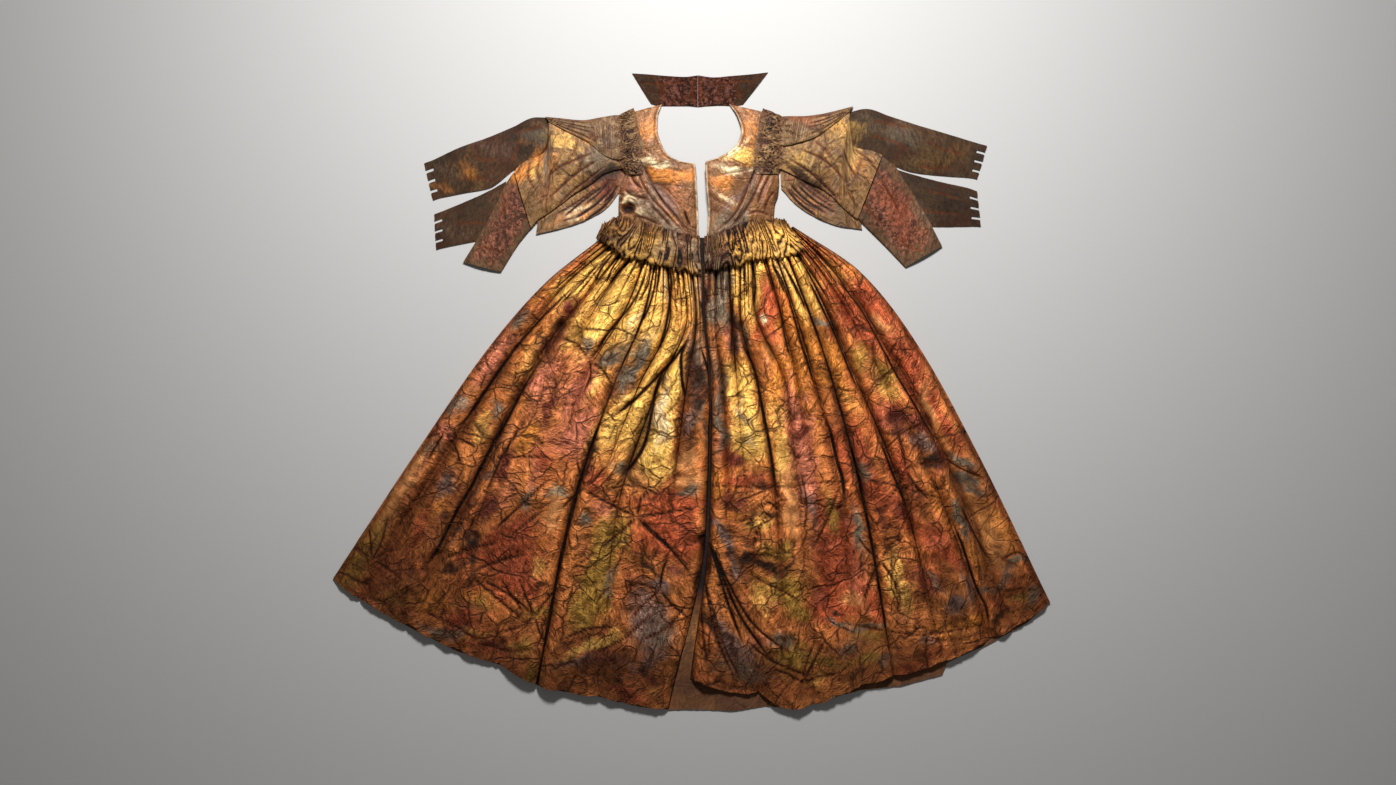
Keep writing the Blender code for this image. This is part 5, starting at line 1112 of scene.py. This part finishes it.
# Skirt. A fold is x of its valley at the five stations, its y at the hem, its depth at the stations, the
# height of the pleat after it, and how crisp it is.
skirt = {
    "skirtSideLeft": {"columns": 28, "flat": (0.62, 1.08), "area": 0.44, "seed": 8, "folds": """
    -21.97 -33.96 -46.65 -63.33 -84.25 -43.83 1 1 1 1 1 2.3 .3,
    -18.92 -30.43 -41.48 -58.16 -77.9 -48.53 .9 .9 .6 .8 .8 2.8 .25,
    -16.1 -24.56 -36.54 -49.7 -66.62 -54.64 1 .9 .7 .9 .2 3.2 .2,
    -13.75 -21.5 -30.43 -41.01 -55.34 -60.28 1 .8 .2 .1 .1 3.4 .1,
    -10.69 -15.16 -25.03 -33.25 -45 -63.8 1 1 .5 .1 .1 3.6 .5,
    -8.34 -10.93 -18.45 -28.32 -36.31 -68.74 1 .9 .5 1 .7 3.8 1.7"""},
    "skirtCentreLeft": {"columns": 34, "flat": (0.48, 1.08), "area": 0.34, "seed": 10, "folds": """
    -8.34 -10.93 -18.45 -28.32 -36.31 -68.74 1 .9 .5 1 .7 3.8 1.7,
    -5.76 -5.05 -12.81 -23.38 -29.73 -70.15 1 1 .6 .1 .1 3.6 1,
    -2.47 -1.06 -8.34 -17.98 -21.5 -71.32 .8 .5 1 .4 .1 3.4 .8,
    -.12 1.06 -1.53 -5.52 -12.1 -73.67 .8 .7 .8 .1 .1 3 .8,
    2.35 2.82 4.25 3.41 -5.29 -74.14 .5 .35 .6 .9 .7 3 1.2"""},
    "skirtCentreRight": {"columns": 21, "flat": (0.66, 1.05), "area": 0.46, "seed": 11, "folds": """
    2.75 3.22 4.58 4.25 -.35 -67.33 .5 .35 .6 .9 .8 2.8 1,
    5.76 5.52 7.4 8.81 10.22 -70.62 .9 .4 .6 .3 .3 3 .5,
    8.58 9.28 10.69 12.81 15.63 -70.38 .9 1 .4 .1 .3 3.4 .8,
    11.4 11.4 15.86 20.33 22.44 -74.38 .8 .8 .8 .5 .1 3.6 .7,
    14.22 14.69 22.21 25.5 28.55 -73.2 1 1 .5 .3 .1 3.6 .5,
    16.57 20.09 24.79 30.2 33.72 -71.32 1 .9 .5 .2 .1 3.6 .4,
    18.68 22.91 28.55 35.37 39.83 -68.74 1 .9 .7 .3 .1 3.4 .6,
    20.56 25.5 32.08 40.3 47.35 -66.62 1 .9 .6 .9 .35 3.2 1.4"""},
    "skirtSideRight": {"columns": 34, "flat": (0.52, 1.02), "area": 0.35, "seed": 9, "folds": """
    20.56 25.5 32.08 40.3 47.35 -66.62 1 .9 .6 .9 .35 3.2 1.4,
    21.74 28.79 36.78 49.23 59.1 -63.33 1 1 1 .8 .2 3 .8,
    22.68 31.61 41.48 56.28 70.15 -57.93 .9 .7 .3 .5 1 2.7 .5,
    23.38 34.43 45.71 60.51 75.32 -55.58 .9 .8 .9 .8 .5 2.2 .5,
    23.85 39.6 52.29 67.09 84.25 -49.47 1 1 1 1 1 1.8 .3"""},
}
skirtFolds = {name: readTable(part["folds"], 13) for name, part in skirt.items()}
pleats = {"stations": (0.0, 0.12, 0.3, 0.6, 1.0), "rise": (0.80, 1.0, 1.0, 0.85, 0.50),
          "depth": (1.2, 2.1, 2.6, 2.4, 1.3), "reach": 2.4, "hemScallop": 0.5, "hair": 0.035,
          "waistMiddle": 2, "waistLow": 29.96, "waistBend": (0.0097, 0.0186),
          "rows": 204, "crumple": 0.16, "thinCrease": 0.26, "thinGain": 1.8, "scattered": 420}

skirtCreases = {
    # short, under the heading
    "gathers": """
    .4 .9 -17.7 33.3 -21.3 28.6 -22.7 25.5, .4 .9 -16.1 32.8 -18.9 28.3 -20.1 25,
    .4 .9 -13.7 31.8 -17 28.3 -19.4 24.8, .35 .7 -11.6 30.4 -12.3 27.4 -13.7 23.9,
    .35 .7 -9.3 30.4 -10.2 25 -13 20.3, .4 1 -8.1 30.9 -8.6 25 -10.2 19.4 -12.3 15.4,
    .3 .7 -7.2 30.7 -7.6 27.1 -8.3 23.4, .45 1.2 -5.1 29.7 -4.8 25 -5.3 19.4 -6.2 14.5 -7.9 9.3,
    .3 .6 -3.4 29 -3.2 25.3 -3.4 21.5, .3 .6 -2.2 28.1 -1.8 25.3 -2 22, .3 .5 -.4 28.1 -.1 25.3 .1 21.5,
    .4 .9 14.2 30.9 14.9 24.8 14.5 19.6, .4 .8 18.4 30.9 20.6 26.2 22 22.4,
    .45 .9 22.2 28.6 24.8 23.9 26.9 18.7, .4 .8 27.4 26.2 29.7 21.7 31.8 17.3,
    .35 .6 26.4 34.7 31.1 29.3 34.9 23.9, .3 .6 6.7 29 6.9 25 7.2 21.5, .35 .8 9.8 23.9 9.5 17.7 9.5 8.6,
    .3 .6 12.3 30.4 12.6 26.2 13 21.5, .3 .6 16.6 31.4 18 27.4 19.6 22.4,
    .35 .6 24.3 33.3 28.3 27.4 32.1 21.5, .3 .5 28.3 33.3 34 27.4 37.7 22,
    .3 .5 20.3 31.4 23.1 26.7 25.3 21.5, .3 .5 -21.5 30.4 -26.2 25 -30.9 20.3,
    .3 .5 -19.6 31.8 -23.9 26.2 -28.1 20.8, .3 .4 -23.4 31.4 -28.6 27.1 -32.8 23.4""",
    # soft folds and ridges
    "longFolds": """
    .5 .6 -10.2 30.2 -11.2 26.2 -13.7 21 -16.3 17.7 -20.1 13 -23.4 7.9,
    .6 -.6 .8 15.4 -2.9 10.5 -7.9 5.8 -11.9 .4 -17.7 -3.6 -21.3 -7.4,
    .5 .7 -.4 13 -3.6 8.3 -8.3 3.2 -13.5 -2 -18.7 -6.2,
    .45 .8 -6.2 5.5 -8.1 1.3 -9.5 -5.3 -10.7 -11.4 -13.5 -16.6 -16.3 -19.9,
    .45 1 -.8 12.1 -2.5 7.9 -2.2 2.5 -1.3 -1.8, .4 .6 19.2 24.6 21 17.7 22 12.3 23.1 7.9,
    .5 .7 31.4 -6 33 -11.4 34.2 -16.8 35.4 -20.8 35.8 -26,
    .45 .7 18.7 30 20.8 26.9 22.7 22 25.7 11.2 27.4 6.2 29.3 -.4,
    .4 .5 27.6 25.3 31.6 17.7 34.2 12.3 36.3 6.9 39.1 .4,
    .35 -.35 -39.4 -5.3 -45.5 -15.2 -51.6 -28.8 -56 -34.9 -58.6 -41.9,
    .35 .4 -38.4 -5.8 -44.5 -15.6 -50.4 -29.3 -54.9 -35.6,
    .5 .6 -32.1 12.6 -40.1 -.4 -43.4 -6.9 -48.1 -15.2 -52.1 -23.1 -55.1 -28.1 -60 -37.7 -63.8 -42.7,
    .5 .5 -21.5 30.4 -39.1 13 -48.1 .6 -53.9 -8.1,
    .4 .5 11.2 13 12.8 9.5 14.9 4.6 16.1 -1.5 17.5 -8.6 18.7 -15.2 19.4 -20.8 20.6 -27.8,
    .4 .5 2 10.9 3.9 4.6 4.8 -1.1,
    .35 .5 30.7 30.7 35.8 24.3 39.8 19.4 44.3 10.9 48.1 3.9 51.1 -1.1 55.3 -8.1 58.4 -14.2,
    .35 .45 61.2 -30.7 63.6 -36.3 66.6 -45.5 69.2 -51.1 69.9 -55.3,
    .4 .45 44.3 -11.4 46.2 -16.6 48.5 -22.2 50.2 -26.7, .4 -.3 5.5 21.5 5.3 14.5 5.8 7.4,
    .35 -.3 19.4 9.3 20.6 2.7 21.7 -6.7 23.1 -18.4""",
    # below the front opening on the right, and the hem's corner
    "hemDrapery": """
    .4 .5 2.7 -32.5 5.8 -40.8 8.3 -49 12.6 -60.7, .4 .5 3.4 -33.7 7.2 -43.1 10.9 -51.8 19.6 -64.3,
    .35 .5 2.2 -39.6 3.9 -49 5.8 -57.2 10.2 -67.8, .4 -.4 4.8 -32.5 8.6 -39.6 12.6 -47.1 23.1 -58.9,
    .35 .4 4.3 -34.9 9 -45.5 14.2 -54.2 23.6 -61.9, .3 .3 3.2 -44.3 7.2 -58.4 11.9 -68.7,
    .35 .35 2 -49 2.9 -58.4 3.9 -66.9, .35 -.3 7.2 -49 11.4 -58.4 17.3 -65.9,
    .35 .35 12.6 -58.4 19.6 -63.6 28.3 -66.9, .3 .3 29 -58.4 26.9 -63.6 25.5 -70.1,
    .3 -.25 30.7 -54.2 28.3 -60.7 26.2 -67.8, .3 .3 34.4 -23.1 31.6 -30.2 28.3 -36.8,
    .3 .25 25.5 -18.4 26.9 -26.7 26.2 -33.7, .3 .3 18.4 -28.3 15.6 -32.1 14.2 -36.8,
    .4 -.35 12.6 -26.7 17.3 -24.3 21.3 -26, .35 .35 13.3 -28.3 18 -26 20.8 -28.3,
    .4 .22 13.3 -38.7 17.5 -38.2 21.3 -39.6, .35 .3 13.7 -43.1 18.9 -45.5 25.5 -49,
    .35 -.3 11.4 -39.6 16.6 -43.1 23.1 -44.8""",
    # seams and long straight creases
    "seams": """
    .16 .12 2 -22 10.9 -22.2 19.4 -22.7, .16 .12 19.9 -22.9 29 -21.3 39.6 -20.8,
    .16 .12 40.1 -20.3 46.6 -21.7 53.2 -23.6 60.7 -25.5, .18 .14 -48.1 -15.4 -40.3 -15.2 -32.5 -15.4,
    .18 .14 34.9 -54.2 49 -56.5 54.9 -57 69 -54.6, .16 .1 50.2 -58.4 59.6 -58.4 68.5 -56.5,
    .22 .18 -33.3 -20.3 -39.4 -26 -46.2 -32.5, .22 .16 -34.4 -27.4 -40.3 -32.1 -43.1 -34.4,
    .25 .2 -51.6 -42.4 -45 -39.6 -38.4 -38, .25 .2 -52.1 -42.9 -45.9 -48.1 -39.8 -53.2,
    .22 .18 -45 -43.4 -42.2 -47.6 -39.4 -51.8, .25 .2 -59.1 -39.6 -52.1 -36.8 -45 -35.4,
    .22 .16 72.5 -39.6 76.7 -37.7 81.9 -43.1, .2 .14 73.2 -49 77.2 -46.2 81 -43.8,
    .25 .2 63.1 -26.7 66.6 -33.7 69.7 -39.6, .22 .16 58.4 -14.9 63.1 -18 69 -20.3,
    .25 .18 -23.9 -61.9 -16.8 -58.4 -8.6 -51.3, .25 .2 -30.9 -58.4 -23.9 -55.6 -16.8 -54.9,
    .22 .16 -12.1 -58.4 -6.2 -55.6 -.4 -49, .25 .2 -63.8 -51.3 -56.8 -54.2 -49.7 -58.4,
    .22 .18 -52.1 -58.4 -42.7 -60.7 -36.8 -60.3""",
}
stars = (  # creases that run from one point
    ((-23.9, 7.6), """
    .2 .2 -27.1 11.2 -30.4 12.6, .2 .2 -20.6 4.8 -18.7 1.8, .2 .2 -23.6 4.1 -25.3 -.1,
    .2 -.16 -27.4 6.2 -30.4 3.2, .2 .16 -21.5 10.2 -20.1 13, .2 -.16 -22 6.5 -17.7 6"""),
    ((-12.8, -29.3), """
    .2 .2 -19.2 -26.2 -25.5 -22.7, .2 .2 -5.5 -28.3 2 -26.9, .22 .22 -8.6 -33.7 -3.6 -38,
    .2 -.18 -6.9 -31.1 -2.7 -36.3, .2 .2 -12.1 -25.5 -9.3 -22.7, .2 .2 -16.3 -32.5 -21.5 -36.8,
    .2 -.16 -14.5 -25 -16.3 -21.7"""),
    ((-12.1, -29.7), ".22 .2 -5.5 -36.1 -.4 -42.4"),
    ((-25, -22.4), """
    .2 .18 -22.4 -20.3 -20.1 -17.5, .2 .18 -28.1 -25 -30.4 -27.4, .2 .16 -26.2 -18.9 -26.9 -15.6"""),
    ((-75.1, -39.6), """
    .2 .2 -78.8 -36.8 -81.9 -35.6, .2 .2 -72.7 -34.9 -71.3 -29.3, .2 .2 -71.3 -41.5 -67.6 -44.3,
    .2 -.16 -77.4 -43.1 -80.3 -46.2, .2 .18 -75.3 -35.4 -76 -31.6, .2 .18 -71.8 -37.7 -68 -36.8"""),
    ((-57.9, -9.5), """
    .2 .2 -61.5 -6.7 -64.7 -4.8, .2 .2 -60 -12.8 -61.9 -16.1, .2 .2 -53.9 -11.4 -50.2 -12.8,
    .2 -.16 -55.6 -6.2 -54.4 -2.9, .2 .18 -61.5 -10.5 -64.7 -11.4, .2 .18 -55.3 -13.3 -53.9 -17.5"""),
    ((-36.8, -52.5), """
    .2 .2 -42.7 -47.6 -50.2 -43.4, .2 .2 -33.7 -48.5 -30.9 -45.7, .2 .2 -40.3 -55.1 -45 -56.5,
    .2 -.16 -32.8 -53.2 -29.5 -51.8, .2 .18 -35.6 -56.5 -33.3 -60.7, .2 .18 -38.4 -49 -40.3 -44.3"""),
    ((26.2, -68.5), """
    .2 .2 28.3 -64 31.1 -58.4, .2 .18 22 -65.9 18.4 -65, .2 .2 29.7 -66.9 34.9 -65.9,
    .2 -.16 25 -64 24.1 -60.7"""),
    ((50.2, -18.4), """
    .2 .18 52.5 -22.2 56 -25.5, .2 .18 48.1 -22.7 45.5 -25.5, .2 .18 49.5 -13.7 48.1 -9.5,
    .2 .18 54.9 -16.6 59.3 -16.6"""),
    ((-7.4, -46.6), """
    .2 .2 -4.6 -49.9 -.4 -53.2, .2 .2 -10.9 -49.5 -14.5 -53.7, .2 .18 -6.9 -42.4 -5.5 -38.7,
    .2 .18 -12.1 -45.2 -16.3 -45.7"""),
    ((44.3, -39.6), """
    .2 .2 41.9 -44.3 40.1 -49.9, .2 .2 47.1 -43.8 49 -49, .2 .18 46.6 -36.1 50.2 -33.7,
    .2 .18 41 -36.8 38.7 -33.5"""),
)


def scatteredCreases(count, seed):  # many more short creases, spread over the skirt
    chance = np.random.default_rng(seed)
    made = []
    for _ in range(count):
        x, y = chance.uniform(-75, 75), chance.uniform(-70, 25)
        angle = math.atan2(y - 45, x - 2) + chance.normal(0, 0.8)
        length = chance.uniform(2.5, 8)
        bend = chance.uniform(-0.5, 0.5)
        step = (math.cos(angle) * length / 2, math.sin(angle) * length / 2)
        turned = (math.cos(angle + bend) * length / 2, math.sin(angle + bend) * length / 2)
        depth = chance.choice((-1, 1, 1)) * chance.uniform(0.08, 0.28) * (0.5 if x > 12 else 0.8)
        made.append((chance.uniform(0.14, 0.3), depth,
                     ((x - step[0], y - step[1]), (x, y), (x + turned[0], y + turned[1]))))
    return made


placed = [crease for text in skirtCreases.values() for crease in readCreases(text)]
placed += [(width, depth, [centre] + line)
           for centre, arms in stars for width, depth, line in readCreases(arms)]
allSkirtCreases = [(width, depth * (pleats["thinGain"] if width < pleats["thinCrease"] else 1), line)
                   for width, depth, line in placed] + scatteredCreases(pleats["scattered"], 7)


def waistY(x):
    bend = pleats["waistBend"][0] if x < pleats["waistMiddle"] else pleats["waistBend"][1]
    return pleats["waistLow"] + bend * (x - pleats["waistMiddle"]) ** 2


def foldLine(fold, down):
    x = curveThrough(pleats["stations"], fold[0:5], down)
    return x, waistY(fold[0]) + (fold[5] - waistY(fold[0])) * down


def valley(fold, away, width, down):  # how far a fold sinks the cloth beside it, and how much painted shade it gets there
    depth = curveThrough(pleats["stations"], fold[6:11], down)
    reach = np.minimum(pleats["reach"], width / 2)
    dip = depth * curveThrough(pleats["stations"], pleats["depth"], down)
    dip = dip * np.clip(1 - away / reach, 0, 1) ** 2
    soft = 1 - min(fold[12], 1)
    crisp = fold[12] + (1 - fold[12]) * np.clip(1 - down / 0.3, 0, 1)
    uneven = waves(40 * down + fold[5], 0 * down + fold[0], 3.0, 61)
    keen = (0.12 + 0.17 * depth) * (1 + 0.5 * uneven) * np.maximum(crisp, 1)
    keen = keen * (0.55 + 0.45 * np.clip(down / 0.4, 0, 1))
    core = np.minimum(crisp, 1) * np.clip(1.35 * depth * (1 + 0.3 * uneven), 0, 1)
    core = core * np.exp(-(away / keen) ** 2)
    wide = (0.22 + 0.20 * soft) * np.clip(0.4 + 2 * down, 0, 1) * depth
    return dip, core, wide * np.exp(-(away / (2.4 - 1.1 * min(fold[12], 1))) ** 2)


def skirtFront(part):
    folds, count = skirtFolds[part], skirt[part]["columns"]
    down = np.linspace(0, 1, pleats["rows"])[:, None]
    even = np.linspace(0, 1, count + 1)
    steps = even - 0.75 * np.sin(math.tau * even) / math.tau  # closer together at the valleys
    strips = []
    chance = np.random.default_rng(skirt[part]["seed"])
    for pleat in range(len(folds) - 1):
        left, right = folds[pleat], folds[pleat + 1]
        step = (steps if pleat == len(folds) - 2 else steps[:-1])[None, :]
        (x1, y1), (x2, y2) = foldLine(left, down), foldLine(right, down)
        width = np.hypot(x2 - x1, y2 - y1)
        before, after = folds[max(pleat - 1, 0)][11], folds[min(pleat + 1, len(folds) - 2)][11]
        own = np.sin(np.pi * step)
        middle = (left[11] + np.where(step < 0.5, before, after)) / 2
        crest = middle + (left[11] - middle) * own
        crest = crest * curveThrough(pleats["stations"], pleats["rise"], down)
        leftDip, leftCore, leftWide = valley(left, width * step, width, down)
        rightDip, rightCore, rightWide = valley(right, width * (1 - step), width, down)
        small = chance.integers(2, 4)  # short gathers below the waist
        gather = np.abs(np.sin(np.pi * (small * step + chance.uniform(-0.12, 0.12)))) * width / small
        hold = np.clip(1 - down / chance.uniform(0.16, 0.34), 0, 1) ** 1.3
        ends = np.clip(20 * step * (1 - step), 0, 1)
        gathers = np.exp(-((gather / 0.55) ** 2)) * hold * ends
        creased = np.exp(-((gather / 0.30) ** 2)) * hold * ends
        # Painted shade: dark fold bottoms, soft shade beside them and in the short gathers.
        deep = np.maximum(np.maximum(leftCore, rightCore),
                          np.maximum(np.maximum(leftWide, rightWide), 0.9 * creased))
        strips.append((x1 + (x2 - x1) * step,
                       y1 + (y2 - y1) * step - pleats["hemScallop"] * own * down ** 3,
                       crest - leftDip - rightDip - 0.8 * gathers, deep))
    x, y, z, deep = (np.concatenate(parts, axis=1) for parts in zip(*strips))
    share = np.linspace(0, 1, x.shape[1])[None, :]
    return x + pleats["hair"] * (0.5 - share), y, z, deep, down, share


def makeSkirtFront(name):
    x, y, z, deep, down, share = skirtFront(name)
    sunk, inside = pressCreases(x, y, allSkirtCreases)
    edge = np.clip(np.minimum(share, 1 - share) * 40, 0, 1)  # the shared valleys keep their line
    soft = np.clip(down * 5, 0.25, 1)
    size = pleats["crumple"] * (1 + 0.6 * waves(x, y, 14, 90))
    lumps = soft * size * (6.5 * facets(x, y, 7.5, 91) + 3.6 * facets(x, y, 3.6, 93)
                           + 1.2 * facets(x, y, 1.8, 94) + 0.4 * crumple(x, y, 2.2, 95) - 4.2)
    lumps = lumps + 0.4 * soft * waves(x, y, 8, 99)
    z = z + edge * (lumps - sunk)
    frayed = (down > 0.995) * 0.18 * waves(x, y, 0.8, 97) + down ** 6 * 0.25 * waves(x, y, 4, 98)
    y = y + frayed
    thinner = np.clip(1.25 - 3.5 * down, 0, 1)  # the mesh is fine enough near the waist
    # Painted shade along the creases and in the valleys.
    pressed = np.clip(1.5 * inside, 0, 1) * (1 - thinner) + inside ** 1.9 * thinner
    pressed = edge * pressed * np.clip(0.58 + 0.5 * sunk, 0.58, 0.98)
    shade = np.clip(np.maximum(0.95 * deep, pressed), 0, 1)
    below = ["skirtBack"] + [part + side for part in ("bodiceFront", "bodiceSide")
                             for side in ("Left", "Right")]
    piece = makeCloth(name, (x, y, z), "skirt", below, shade)
    declare(piece, skirt[name]["flat"])


skirtBack = {  # x and y along the two edges
    "waist": """
    -21.97 35.6, -16.33 36.28, 2 36.28, 18.92 36.28, 23.85 38.89""",
    "hem": """
    -84.25 -43.83, -77.43 -49, -66.86 -55.11, -55.34 -60.98, -42.65 -64.98, -35.13 -69.68, -21.5 -71.79,
    -12.1 -74.14, -5.52 -74.73, 2 -74.73, 10.22 -75.08, 17.27 -73.91, 23.15 -74.61, 32.55 -72.03,
    40.07 -70.15, 49 -69.21, 58.87 -66.62, 60.04 -63.8, 70.38 -59.1, 78.84 -54.4, 84.25 -49.47""",
    "columns": 210, "rows": 44, "flat": (1.69, 1.10), "area": 1.30,
}


def makeSkirtBack():
    waist, hem = readTable(skirtBack["waist"], 2), readTable(skirtBack["hem"], 2)
    across = np.linspace(0, 1, skirtBack["columns"])[None, :]
    even = np.linspace(0, 1, skirtBack["rows"])[:, None]
    down = 1 - (1 - even) ** 1.6  # closer together at the hem, where it shows
    waistAt, hemAt = across[0] * (len(waist) - 1), across[0] * (len(hem) - 1)
    leftLine = foldLine(skirtFolds["skirtSideLeft"][0], down)
    rightLine = foldLine(skirtFolds["skirtSideRight"][-1], down)
    place = []
    for axis in (0, 1):
        top = np.interp(waistAt, range(len(waist)), waist[:, axis])[None, :]
        bottom = np.interp(hemAt, range(len(hem)), hem[:, axis])[None, :]
        edges = leftLine[axis] + (rightLine[axis] - leftLine[axis]) * across
        ends = top + (bottom - top) * down
        corners = ((top[0, 0] + (top[0, -1] - top[0, 0]) * across) * (1 - down)
                   + (bottom[0, 0] + (bottom[0, -1] - bottom[0, 0]) * across) * down)
        place.append(edges + ends - corners)
    x, y = place
    hemward = np.clip(down * 1.4 - 0.5, 0, 1)
    z = 0.22 + hemward * (0.12 * np.abs(waves(x, y * 3, 6, 101)) + 0.07 * crumple(x, y, 2.0, 102))
    y = y + (down > 0.995) * 0.15 * waves(x, y, 0.9, 103)
    shade = np.exp(-((x - 3.2) / 3.2) ** 4) * np.clip((y + 55) / 12, 0, 1)  # painted shadow where the back shows through the front opening
    piece = makeCloth("skirtBack", (x, y, z), "back", paintedShade=shade)
    declare(piece, skirtBack["flat"])


# The gathered heading above the skirt
heading = {
    "Left": {"ribs": 30, "seed": 111, "rungs": """
    -21.03 39.13 -22.44 36.07 .6 2 .6, -16.8 40.77 -18.92 34.19 .7 3.6 .7,
    -12.1 40.07 -15.39 31.61 1.2 3.8 .9, -8.34 38.89 -10.93 30.67 1.7 4 .9,
    -4.82 37.95 -6.46 29.26 2 4 .9, -1.29 37.01 -2.23 28.08 2.1 3.8 .9, 2 36.31 2.23 27.61 2.2 3.5 .8"""},
    "Right": {"ribs": 27, "seed": 121, "rungs": """
    2.94 36.31 3.05 28.32 2.2 3.5 .8, 5.76 37.01 6.23 29.02 2.1 3.8 .9, 9.28 38.42 10.46 29.73 2 4 .9,
    12.81 39.83 14.69 30.9 1.7 4 .9, 16.1 40.66 18.68 31.37 1.2 3.9 .9, 19.15 40.77 22.68 31.84 .7 3.7 .7,
    22.21 40.07 26.44 33.25 .6 3.2 .5"""},
    "ribHeight": 0.62, "columns": 400, "rows": 30, "flat": (0.40, 0.10), "area": 0.040,
}


def makeHeading(side):
    count, seed, rungs = heading[side].values()
    x, y, z = ladder(readTable(rungs, 7), heading["columns"], heading["rows"])
    gather, groove = ribs(x, count, heading["ribHeight"], seed, 1.5, slant=2.0)
    looser, gaps = ribs(x, 0.7 * count, 0.9 * heading["ribHeight"], seed + 5, 1.6, slant=-3.4)
    mixed = np.clip(0.5 + 5 * waves(x, 0.6 * y, 3.2, seed + 8), 0, 1)
    gather, groove = gather + (looser - gather) * mixed, groove + (gaps - groove) * mixed
    strands = tangle(x, y, 0.9, seed + 30)
    knotted = 0.26 + 0.3 * np.exp(-((x - 10.22) / 3) ** 2) + 0.2 * np.exp(-((x - -19.15) / 4) ** 2)
    gather = gather + knotted * np.maximum(strands, -0.5)
    groove = np.clip(0.95 * groove ** 1.8 + 1.8 * knotted * np.clip(0.5 - strands, 0, 1), 0, 1)
    across = np.linspace(0, 1, x.shape[0])[:, None]
    ruffle = gather * (np.exp(-(across / 0.12) ** 2) + 0.8 * np.exp(-((1 - across) / 0.12) ** 2))
    y = y + 1.1 * ruffle * np.where(across < 0.5, 1, -1) + 0.15 * waves(x, y, 1.4, 113)
    y = y + 0.55 * across ** 3 * waves(x, 0 * y, 2.4, 115)
    z = z + gather * (0.6 + 0.6 * np.sin(np.pi * across)) + crumples(x, y, 1.5, 0.10, 114)
    z = z - 0.5 * (1 - np.clip((1 - across) / 0.12, 0, 1)) ** 2
    below = [name for name in trees if name.startswith(("skirt", "bodice"))]
    # The grooves between the ribs and under the strands get painted shade.
    piece = makeCloth("heading" + side, (x, y, z), "heading", below, 0.95 * groove)
    declare(piece, heading["flat"])


for side in ("Left", "Right"):
    for makePart in (makeCollar, makeBodice, makeSleeve, makeWing, makeArmhole):
        makePart(side)
makeSkirtBack()
for name in skirt:
    makeSkirtFront(name)
for side in ("Left", "Right"):
    makeHeading(side)


# Studio: a pale floor, a soft lamp above the waist and a gentle fill, and the camera straight above
studio = {
    "floor": (0.44, 0.43, 0.42, 1), "floorSize": 8.0, "floorZ": -0.0005, "floorRoughness": 0.8,
    "lamps": {"mainLamp": (0.5, 96, (0.05, 1.70, 1.80), (0.03, 0.05, 0)),  # size, power, place and aim
              "fillLamp": (3.0, 6, (0.3, -1.2, 3.4), (0, -0.1, 0))},
    "airColour": (1, 0.98, 0.95, 1), "air": 0.09, "camera": (0.015, -0.002, 5.2), "lens": 57.0, "sensor": 36,
}


def addObject(name, data, place=(0, 0, 0)):
    holder = bpy.data.objects.new(name, data)
    holder.location = place
    bpy.context.scene.collection.objects.link(holder)
    return holder


def makeStudio():
    sheet = bmesh.new()
    bmesh.ops.create_grid(sheet, x_segments=1, y_segments=1, size=studio["floorSize"])
    bmesh.ops.translate(sheet, vec=(0, 0, studio["floorZ"]), verts=sheet.verts[:])
    mesh = bpy.data.meshes.new("studioFloor")
    sheet.to_mesh(mesh)
    sheet.free()
    paint = bpy.data.materials.new("floorPaint")
    paint.use_nodes = True
    shader = paint.node_tree.nodes["Principled BSDF"].inputs
    shader["Base Color"].default_value = studio["floor"]
    shader["Roughness"].default_value = studio["floorRoughness"]
    mesh.materials.append(paint)
    floor = addObject("studioFloor", mesh)

    for name, (size, power, place, aim) in studio["lamps"].items():
        lamp = bpy.data.lights.new(name, "AREA")
        lamp.shape, lamp.size, lamp.energy = "DISK", size, power
        turn = (Vector(aim) - Vector(place)).to_track_quat("-Z", "Y")
        addObject(name, lamp, place).rotation_euler = turn.to_euler()
    air = bpy.data.worlds.new("studioAir")
    air.use_nodes = True
    light = air.node_tree.nodes["Background"].inputs
    light["Color"].default_value = studio["airColour"]
    light["Strength"].default_value = studio["air"]
    bpy.context.scene.world = air

    camera = bpy.data.cameras.new("photoCamera")
    camera.lens, camera.sensor_width = studio["lens"], studio["sensor"]
    bpy.context.scene.camera = addObject("photoCamera", camera, studio["camera"])
    bpy.context.scene.view_settings.view_transform = "Standard"


makeStudio()
